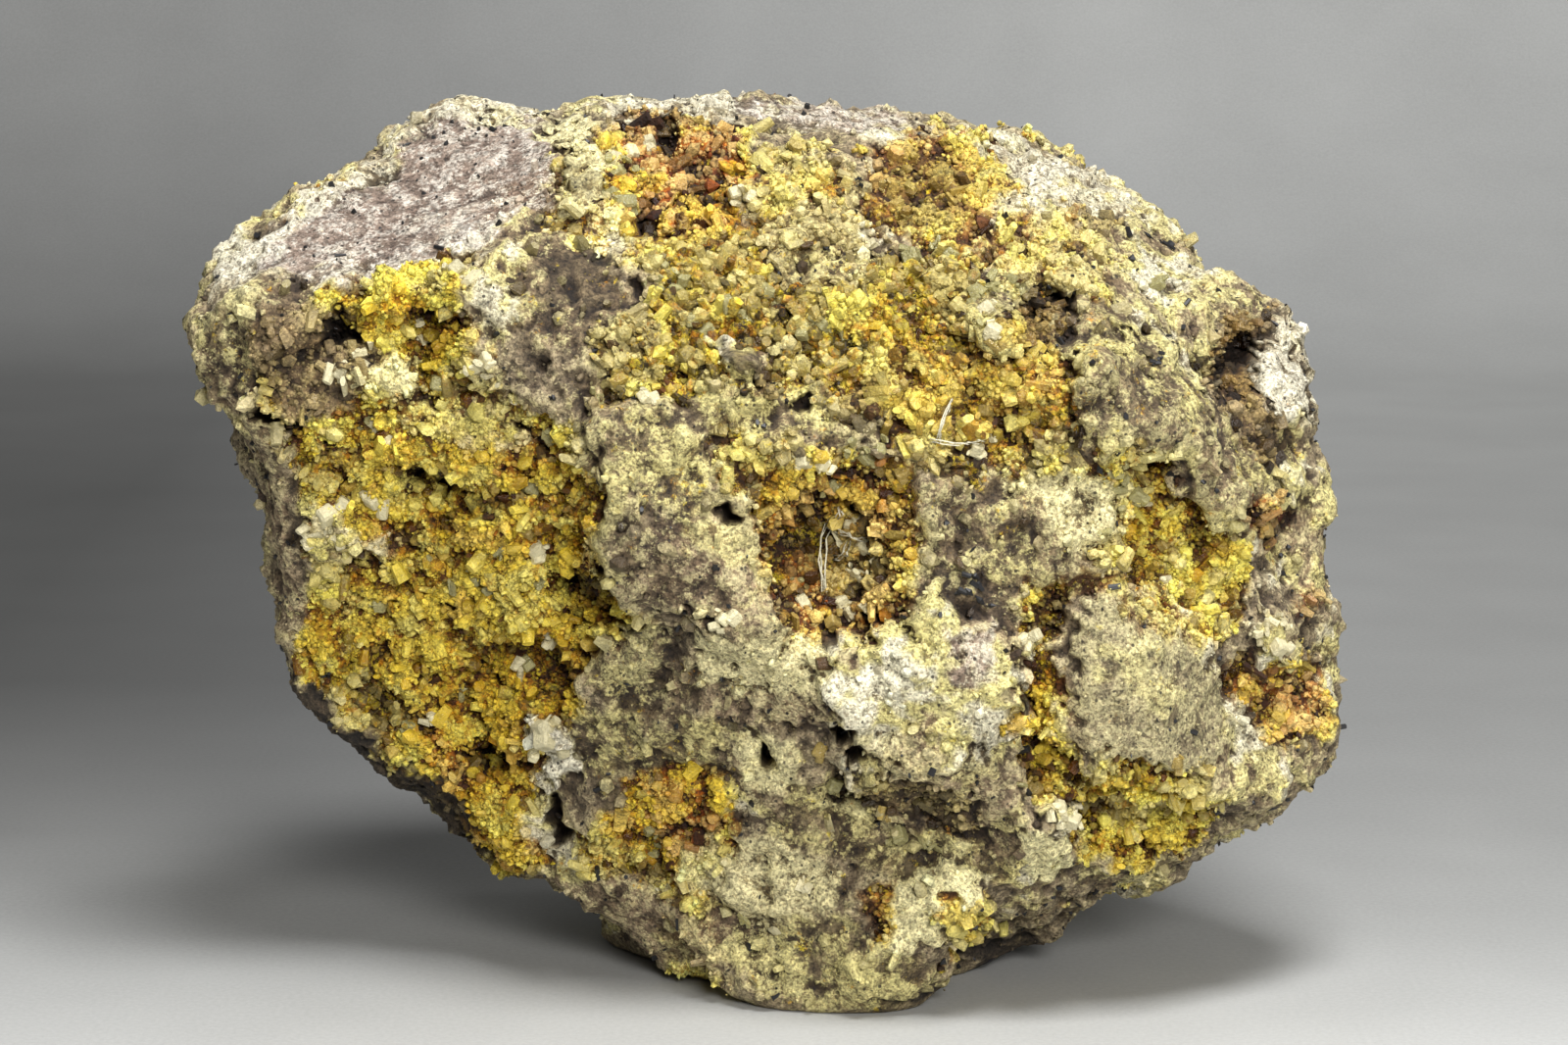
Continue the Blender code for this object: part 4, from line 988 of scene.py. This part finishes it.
crystalCut = {
    # how many, least and greatest width in mm, and how strongly small ones outnumber large ones
    "grains": (42000, 0.20, 0.80, 2.4),
    "crystals": (3600, 0.60, 1.70, 1.4),
    "splinters": (1300, 0.22, 0.85, 2.6),
    "lean": 0.5,
    "glassyShare": 0.55,      # of the crystals
    "hollowEdge": -0.8,       # how far past a hollow's outline a crystal still counts as in it, mm
}


def readFaces():
    count = len(rock.polygons)
    centres, normals, areas = np.empty(count * 3), np.empty(count * 3), np.empty(count)
    firsts = np.empty(count, int)
    corner = np.empty(len(rock.loops), int)
    rock.polygons.foreach_get("center", centres)
    rock.polygons.foreach_get("normal", normals)
    rock.polygons.foreach_get("area", areas)
    rock.polygons.foreach_get("loop_start", firsts)
    rock.loops.foreach_get("vertex_index", corner)
    return centres.reshape(-1, 3) / mm, normals.reshape(-1, 3), areas / mm ** 2, corner[firsts]


faceMiddles, faceNormals, faceAreas, faceCorners = readFaces()


class Crop:
    # things planted on the rock by area and by how much the ground bears of them
    def __init__(self, plan, weights, smooth, behind=0.07):
        count, least, greatest, bias = plan
        bearing = sum(rockShares[kind][faceCorners] * weight for kind, weight in weights.items())
        facing = smoothstep(0.05, 0.45, -faceNormals[:, 1]) * (1.0 - behind) + behind
        chanceOf = faceAreas * bearing * facing * (faceMiddles[:, 2] > 1.0)
        chosen = dice.choice(len(faceAreas), size=count, p=chanceOf / chanceOf.sum())
        self.smooth = smooth
        self.count = count
        self.corner = faceCorners[chosen]
        self.upright = readPlaces(rock, "normal")[self.corner]
        self.sizes = least + (greatest - least) * dice.random(count) ** bias
        strays = dice.uniform(-0.5, 0.5, (count, 3)) * np.sqrt(faceAreas[chosen])[:, None]
        self.places = faceMiddles[chosen] + strays
        self.axes = turnFrames(self.upright, crystalCut["lean"])
        self.stretch = dice.uniform((0.8, 0.65, 0.8), (1.15, 1.0, 1.5), (count, 3))
        self.home = np.full(count, -1)
        for index, line in enumerate(hollows.values()):
            near = insideDistance(self.places[:, [0, 2]], line) > crystalCut["hollowEdge"]
            self.home[near] = index

    def paint(self, paleness, gains):
        # the ground's colour with the rock's painted shade, paler where the ground stands proud: partly pale
        # bloom and partly painted light
        proud = np.clip(0.42 - 2.0 * rockNear[self.corner] + 0.25 * dice.normal(size=self.count), 0.0, 1.0)
        lighten = (paleness * proud)[:, None]
        self.paints = rockPaint[self.corner]
        ground = self.paints[:, :3] * dice.uniform(*gains, self.count)[:, None]
        self.paints[:, :3] = np.clip(ground * (1.0 - lighten) + self.paints[:, 3:6] * lighten, 0.0, 0.9)

    def parts(self, keep, shapes, sunk):
        found = []
        which = dice.integers(0, len(shapes), self.count)
        for index, shape in enumerate(shapes):
            pick = keep & (which == index)
            if pick.any():
                stand = self.places[pick] + self.upright[pick] * (self.sizes[pick] * sunk)[:, None]
                verts, faces = scatter(shape, stand, self.axes[pick], self.sizes[pick], self.stretch[pick])
                # each copy is darker at its foot and paler at its top: painted shade and painted light
                rise = np.tile(0.72 + 0.5 * (shape[0][:, 2] + 0.5), pick.sum())[:, None]
                paint = np.repeat(self.paints[pick], len(shape[0]), axis=0)
                paint[:, :6] = np.clip(paint[:, :6] * rise, 0.0, 0.95)
                found.append((verts, faces, paint, self.smooth))
        return found


def bearing(column):
    return {kind: row[column] for kind, row in groundKinds.items()}


grains = Crop(crystalCut["grains"], bearing("grains"), True)
grains.paint(0.8, (0.75, 1.35))
crystals = Crop(crystalCut["crystals"], bearing("crystals"), False, 0.01)
crystals.paint(0.8, (0.7, 1.2))
grainShapes = [pebble(5), pebble(4), crystalShape(4, 0.8, 0.8, 1.0), pebble(5)]
crystalShapes = [crystalShape(6, 0.7, 0.6, 1.0), roundGrain(), crystalShape(5, 0.6, 0.8, 1.0), roundGrain(),
                 pebble(7), crystalShape(8, 0.74, 0.8, 0.8)]
isGlassy = dice.random(crystals.count) < crystalCut["glassyShare"]


def crystalFinish(name, rough, dusted, seethrough=0.0):
    finish = Finish(name)
    tint = finish.attribute("tint", "Color")
    colour, fleck = weathered(finish, tint)
    colour = finish.mix(dusted, tint, colour)
    bump = finish.bump(fleck + finish.noise(0.2, 2.0, 0.5, 2.0), 0.18, 0.9)
    settings = {"Base_Color": colour, "Roughness": rough, "IOR": 1.48, "Normal": bump}
    if seethrough:
        settings["Transmission_Weight"] = seethrough
    return finish.shade(**settings)


dustyCrystal = crystalFinish("dustyCrystal", 0.75, 0.9)
glassyCrystal = crystalFinish("glassyCrystal", 0.25, 0.4)


def crustParts(index):
    dusty = grains.parts(grains.home == index, grainShapes, 0.05)
    return dusty + crystals.parts((crystals.home == index) & ~isGlassy, crystalShapes, 0.12)


for index, node in enumerate(hollows):
    label = node.split("_")[0] + "Crystals"
    piece = addPiece(label, joinedMesh(label, crustParts(index)), dustyCrystal)
    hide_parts(node)
    print(label, len(piece.data.polygons))
addPiece("strayCrystals", joinedMesh("strayCrystals", crustParts(-1)), dustyCrystal)
glassyOnes = joinedMesh("glassyCrystals", crystals.parts(isGlassy, crystalShapes, 0.15))
addPiece("glassyCrystals", glassyOnes, glassyCrystal)

# The larger glassy crystals, by tone: place and length in view points.
glassyPlaces = {
    "white": [
        (350, 380, 26), (368, 360, 26), (352, 392, 30), (385, 440, 26), (396, 452, 22),
        (330, 530, 34), (322, 545, 26), (344, 552, 22), (388, 520, 30), (378, 512, 20),
        (420, 334, 26), (432, 348, 22), (480, 285, 34), (466, 274, 26), (490, 372, 28),
        (500, 382, 26), (660, 404, 24), (544, 564, 26), (558, 656, 24), (528, 700, 26),
        (442, 736, 22), (555, 750, 34), (565, 740, 26), (574, 764, 24), (548, 760, 22),
        (640, 158, 26), (660, 156, 24), (626, 162, 22), (752, 208, 24), (766, 200, 20),
        (886, 250, 20), (1006, 316, 26), (1012, 334, 26), (998, 458, 26), (1012, 448, 22),
        (1004, 470, 22), (870, 540, 24), (860, 560, 22), (884, 564, 22), (896, 580, 22),
        (872, 590, 22), (884, 618, 20), (858, 620, 24), (870, 632, 24), (820, 620, 22),
        (820, 470, 24), (838, 470, 22), (1168, 512, 20), (1190, 594, 22), (1290, 640, 22),
        (1304, 630, 22), (1300, 652, 24), (1284, 650, 20), (1050, 656, 22), (1084, 826, 30),
        (1092, 834, 24), (1072, 830, 24), (740, 632, 26), (748, 626, 24), (820, 904, 22),
        (792, 950, 24)],
    "clear": [
        (372, 430, 22), (386, 618, 24), (612, 408, 22), (248, 408, 22), (446, 392, 24),
        (462, 600, 22), (486, 592, 20), (536, 690, 20), (510, 564, 26), (498, 604, 20),
        (440, 572, 20), (550, 600, 22), (560, 440, 24), (540, 504, 26), (468, 712, 26),
        (416, 744, 20), (630, 176, 26), (650, 180, 22), (640, 206, 24), (626, 200, 20),
        (690, 280, 26), (668, 296, 26), (686, 300, 26), (706, 330, 22), (720, 340, 26),
        (742, 312, 24), (760, 330, 22), (780, 300, 24), (800, 320, 22), (820, 340, 24),
        (840, 330, 22), (860, 340, 24), (876, 362, 22), (950, 256, 20), (930, 264, 24),
        (970, 262, 20), (996, 300, 30), (1010, 290, 26), (1030, 284, 26), (1042, 294, 22),
        (1000, 330, 24), (870, 450, 26), (880, 462, 28), (892, 456, 22), (850, 500, 22),
        (812, 600, 22), (1140, 500, 30), (1146, 520, 26), (1160, 506, 22), (1126, 540, 22),
        (1138, 484, 22), (1150, 470, 24), (1040, 800, 22), (850, 800, 22), (918, 852, 22),
        (960, 870, 20), (868, 810, 22), (940, 860, 20), (760, 936, 20), (662, 846, 20),
        (674, 866, 20), (1180, 290, 20)],
    "honey": [
        (536, 548, 18), (530, 512, 22), (556, 470, 18), (916, 212, 18), (908, 190, 18),
        (1012, 350, 24), (1040, 346, 18), (1022, 372, 24), (914, 396, 20), (920, 484, 20),
        (1006, 420, 20), (846, 600, 20), (838, 520, 20), (850, 640, 22), (1190, 560, 20),
        (1052, 812, 22), (1062, 816, 24), (1200, 776, 18), (836, 766, 24), (900, 830, 22)],
}

# Black hornblende: place, length and width in view points, and turn in degrees.
needlePlaces = [
    (348, 262, 14, 5, 20), (222, 284, 12, 6, 10), (416, 148, 14, 5, 45), (990, 592, 26, 16, -30),
    (1000, 612, 22, 9, -45), (978, 602, 14, 9, 20), (1012, 617, 14, 6, 0), (992, 560, 16, 4, 50),
    (1137, 598, 16, 9, 10), (1178, 366, 15, 11, 20), (1170, 240, 22, 6, -20),
    (1192, 252, 18, 7, -40), (1296, 324, 24, 5, -35), (332, 686, 14, 12, 0), (640, 697, 14, 5, -15),
    (690, 741, 14, 8, 60), (612, 804, 15, 8, 40), (441, 800, 18, 8, -70), (968, 820, 13, 5, 80),
    (692, 943, 16, 5, 80), (1010, 980, 22, 3, 0), (1296, 818, 18, 4, 30), (875, 188, 12, 10, 0),
]

# White fibres: start and end (x, z) and how far they sag aside, mm.
fibrePlaces = [
    (4.6, 42.9, 4.1, 37.6, -0.4), (4.6, 42.9, 7.6, 41.9, 0.2), (4.7, 43.4, 5.6, 44.9, 0.3),
    (13.2, 51.2, 17.6, 50.9, 0.2), (14.6, 54.4, 13.6, 51.3, -0.3), (6.3, 41.8, 4.9, 40.2, 0.3)]


def onSurface(x, z):
    hit, normal, _, _ = surface.ray_cast(Vector((x, -90.0, z)) * mm, Vector((0.0, 1.0, 0.0)))
    if hit is None:
        return None, None
    around = normal.copy()
    for right, up in ((1.0, 0.0), (-1.0, 0.0), (0.0, 1.0), (0.0, -1.0)):
        other = surface.ray_cast(Vector((x + right, -90.0, z + up)) * mm, Vector((0.0, 1.0, 0.0)))[1]
        around += other or normal
    return hit / mm, around.normalized()


glassTones = {"white": (232, 222, 180), "clear": (208, 200, 140), "honey": (216, 188, 108)}


def glassyCrystals(tones):
    parts = []
    shape = crystalShape(6, 0.66, 0.58, 1.0)
    block = bluntBlock()
    for tone, spot in [(tone, spot) for tone in tones for spot in glassyPlaces[tone]]:
        x, z, size = sized(*spot)
        place, normal = onSurface(x, z)
        if place is None:
            continue
        for twin in range(chance.choice((2, 3, 4, 5))):
            length = size * (0.62 if twin == 0 else chance.uniform(0.3, 0.5))
            shift = Vector((chance.uniform(-1, 1), 0.0, chance.uniform(-1, 1)))
            shift *= 0.5 * size if twin else 0.0
            stand = np.array([place + shift + normal * length * 0.05])
            frameOf = turnFrames(np.array([normal]), 0.6)
            reach = [chance.uniform(*limits) for limits in ((0.8, 1.1), (0.8, 1.1), (0.9, 1.4))]
            form = chance.choice((shape, shape, block))
            verts, faces = scatter(form, stand, frameOf, np.array([length]), np.array([reach]))
            shade = np.array(linear(glassTones[tone])) * chance.uniform(0.7, 1.0)
            paint = np.tile(np.concatenate([shade, shade, (0.3, 0.2, 0.0)]), (len(verts), 1))
            parts.append((verts, faces, paint, False))
    return parts


milky = crystalFinish("milkyCrystal", 0.28, 0.25)
clear = crystalFinish("clearCrystal", 0.16, 0.3, 0.35)
addPiece("milkyCrystals", joinedMesh("milkyCrystals", glassyCrystals(("white",))), milky)
clearOnes = joinedMesh("clearCrystals", glassyCrystals(("clear", "honey")))
addPiece("clearCrystals", clearOnes, clear)
print("glassy crystals", sum(len(spots) for spots in glassyPlaces.values()))


splinterGround = {
    "lilac": 1.0, "mauve": 1.0, "tuff": 0.8, "grey": 0.8, "darkmauve": 0.5, "greycream": 0.4, "cream": 0.3,
}


def needleMesh():
    parts = []
    shapes = (crystalShape(6, 0.9, 0.8, 1.0), pebble(5))
    for *spot, turn in needlePlaces:
        x, z, length, width = sized(*spot)
        bundle = 1 if width < 0.8 else 7      # a wide one is a bundle of short blades
        for _ in range(bundle):
            spread = 0.0 if bundle == 1 else 0.42
            strayX, strayZ = (chance.uniform(-spread, spread) * length for _ in "xz")
            place, normal = onSurface(x + strayX, z + strayZ)
            if place is None:
                continue
            angle = math.radians(turn + chance.uniform(-20, 20) * (bundle > 1))
            along = Vector((math.cos(angle), 0.0, math.sin(angle)))
            along = (along - normal * along.dot(normal)).normalized()
            side = along.cross(normal)
            axesOf = np.array([np.stack([side, normal, along], 1)])
            grade = 0.8 if bundle == 1 else chance.uniform(0.3, 0.5)
            reach = np.array([[width, max(width * 0.7, 0.3), max(length, width)]]) * grade
            stand = np.array([place + normal * (0.15 if bundle == 1 else 0.4)])
            verts, faces = scatter(chance.choice(shapes), stand, axesOf, np.array([1.0]), reach)
            parts.append((verts, faces, np.zeros((len(verts), 9)), False))
    splinters = Crop(crystalCut["splinters"], splinterGround, False, 0.8)
    splinters.paints = np.zeros((splinters.count, 9))
    parts += splinters.parts(splinters.sizes > 0.0, shapes, 0.02)
    return joinedMesh("hornblende", parts)


def fibreMesh():
    # fine white threads that cross the hollows: start, end and how far they sag, mm
    parts = []
    ring = [(math.cos(angle), math.sin(angle)) for angle in (0.0, 2.1, 4.2)]
    for x0, z0, x1, z1, sag in fibrePlaces:
        for _ in range(3):
            ends = [onSurface(x + chance.uniform(-0.3, 0.3), z + chance.uniform(-0.3, 0.3))[0]
                    for x, z in ((x0, z0), (x1, z1))]
            if ends[0] is None or ends[1] is None:
                continue
            thread = []
            for step in range(7):
                part = step / 6
                bow = math.sin(math.pi * part)
                point = ends[0].lerp(ends[1], part) + Vector((0.0, -0.5 - 1.2 * bow, 0.0))
                aside, above = sag * bow + chance.uniform(-0.2, 0.2), chance.uniform(-0.2, 0.2)
                thread.append(point + Vector((aside, 0.0, above)))
            verts = [p + Vector((c * 0.09, s * 0.09, 0.5 * c * 0.09)) for p in thread for c, s in ring]
            faces = []
            for step in range(6):
                for side in range(3):
                    low, beside = step * 3 + side, step * 3 + (side + 1) % 3
                    faces += [(low, beside, low + 3), (beside, beside + 3, low + 3)]
            paint = np.tile(np.array(linear((236, 230, 204)) * 2 + (0.0, 0.0, 0.0)), (len(verts), 1))
            parts.append((np.array(verts), np.array(faces), paint, True))
    return joinedMesh("whiteFibres", parts)


def hornblendeFinish():
    finish = Finish("hornblende")
    streak = finish.noise(0.3, 2.0, 0.5)
    black = finish.mix(streak, (0.004, 0.004, 0.005), (0.016, 0.016, 0.018))
    return finish.shade(Base_Color=black, Roughness=0.5)


addPiece("hornblende", needleMesh(), hornblendeFinish())
print("hornblende", len(needlePlaces))
addPiece("whiteFibres", fibreMesh(), milky)

# The paper sweep that the specimen stands on, in metres.
studio = {
    "width": 3.0,
    "front": 1.2,                # how far it runs to the front
    "reach": 0.42,               # how far to the back before it bends up
    "bend": 0.16,                # radius of the bend
    "rise": 1.2,                 # how far it stands up behind
    "tint": (0.99, 1.0, 0.98),
    # how pale the paper is on the right and on the left, by the depth behind the specimen: painted light and
    # shade that follow the lamps' falloff with depth, and painted shade on the left
    "paleness": [(-0.03, 0.53, 0.50), (0.01, 0.38, 0.33), (0.05, 0.32, 0.15), (0.13, 0.28, 0.072),
                 (0.28, 0.30, 0.070), (0.42, 0.36, 0.115), (0.55, 0.41, 0.27)],
}


def studioSweep():
    bm = bmesh.new()
    half = studio["width"] / 2
    start = [bm.verts.new((-half, -studio["front"], 0.0)), bm.verts.new((half, -studio["front"], 0.0))]
    edge = bm.edges.new(start)
    run = bmesh.ops.extrude_edge_only(bm, edges=[edge])["geom"]
    ends = [v for v in run if isinstance(v, bmesh.types.BMVert)]
    bmesh.ops.translate(bm, vec=(0.0, studio["front"] + studio["reach"], 0.0), verts=ends)
    edge = [e for e in run if isinstance(e, bmesh.types.BMEdge)]
    bmesh.ops.spin(bm, geom=edge, cent=(0.0, studio["reach"], studio["bend"]),
                   axis=(1.0, 0.0, 0.0), angle=math.radians(90), steps=24)
    bm.verts.ensure_lookup_table()
    highest = max(v.co.z for v in bm.verts)
    top = [e for e in bm.edges if all(v.co.z > highest - 1e-5 for v in e.verts)]
    rise = bmesh.ops.extrude_edge_only(bm, edges=top)["geom"]
    ends = [v for v in rise if isinstance(v, bmesh.types.BMVert)]
    bmesh.ops.translate(bm, vec=(0.0, 0.0, studio["rise"]), verts=ends)
    bmesh.ops.recalc_face_normals(bm, faces=bm.faces)
    mesh = bpy.data.meshes.new("studioSweep")
    bm.to_mesh(mesh)
    bm.free()
    obj = bpy.data.objects.new("studioSweep", mesh)
    bpy.context.scene.collection.objects.link(obj)
    mesh.polygons.foreach_set("use_smooth", [True] * len(mesh.polygons))
    mesh.materials.append(paperFinish())


def paperFinish():
    finish = Finish("paperSweep")
    grain = finish.noise(0.5, 2.0, 0.7, 3.0) * 0.6 + finish.noise(30.0, 2.0, 0.6) * 0.4
    spots = [line[0] for line in studio["paleness"]]
    first, last = spots[0], spots[-1]
    axes = finish.node("ShaderNodeSeparateXYZ", {}, {0: finish.place})
    depth = Wire(finish, axes.socket.node.outputs["Y"]).clamped(first, last)
    sides = []
    for side in (1, 2):
        stops = [((line[0] - first) / (last - first), [line[side] * c for c in studio["tint"]])
                 for line in studio["paleness"]]
        sides.append(finish.node("ShaderNodeValToRGB", {"stops": stops}, {"Fac": depth}))
    # the paper is painted darker towards the left: painted shade
    colour = finish.mix((0.07 - axes).clamped(0.0, 0.17), *sides)
    dark = finish.mix(0.14, colour, (0.0, 0.0, 0.0))
    colour = finish.mix(grain.clamped(0.35, 0.65), dark, colour)
    return finish.shade(Base_Color=colour, Roughness=0.9)


def areaLight(name, place, target, size, power, colour):
    lamp = bpy.data.lights.new(name, "AREA")
    lamp.shape = "RECTANGLE"
    lamp.size, lamp.size_y = size
    lamp.energy = power
    lamp.color = colour
    obj = bpy.data.objects.new(name, lamp)
    obj.location = place
    obj.rotation_euler = (Vector(target) - Vector(place)).to_track_quat("-Z", "Y").to_euler()
    bpy.context.scene.collection.objects.link(obj)


middle = (0.0, 0.0, 0.04)
lamps = {
    # place, what it points at, size in metres, watts and colour
    "overhead": ((0.07, -0.22, 0.50), middle, (0.18, 0.14), 3.2, (1.0, 1.0, 1.0)),
    "frontFill": ((0.12, -0.53, 0.25), middle, (0.18, 0.14), 2.5, (1.0, 0.98, 0.95)),
    "paperLight": ((0.0, 0.16, 0.62), (0.0, 0.90, 0.35), (0.5, 0.16), 3.0, (1.0, 1.0, 1.0)),
}
roomLight = {"Color": (1.0, 0.98, 0.95, 1.0), "Strength": 0.06}


def studioLight():
    world = bpy.data.worlds.new("softRoom")
    bpy.context.scene.world = world
    world.use_nodes = True
    for name, value in roomLight.items():
        world.node_tree.nodes["Background"].inputs[name].default_value = value
    for name, lamp in lamps.items():
        areaLight(name, *lamp)


def addCamera():
    lens = bpy.data.cameras.new("camera")
    lens.lens = view["lens"]
    lens.sensor_width = view["sensor"]
    lens.clip_start = 0.01
    lens.clip_end = 20.0
    camera = bpy.data.objects.new("camera", lens)
    camera.location = Vector(cameraPlace) * mm
    camera.rotation_euler = (math.radians(90.0) - lift, 0.0, 0.0)
    bpy.context.scene.collection.objects.link(camera)
    bpy.context.scene.camera = camera


studioSweep()
studioLight()
addCamera()
bpy.context.scene.view_settings.view_transform = "Standard"
print("studio ready")
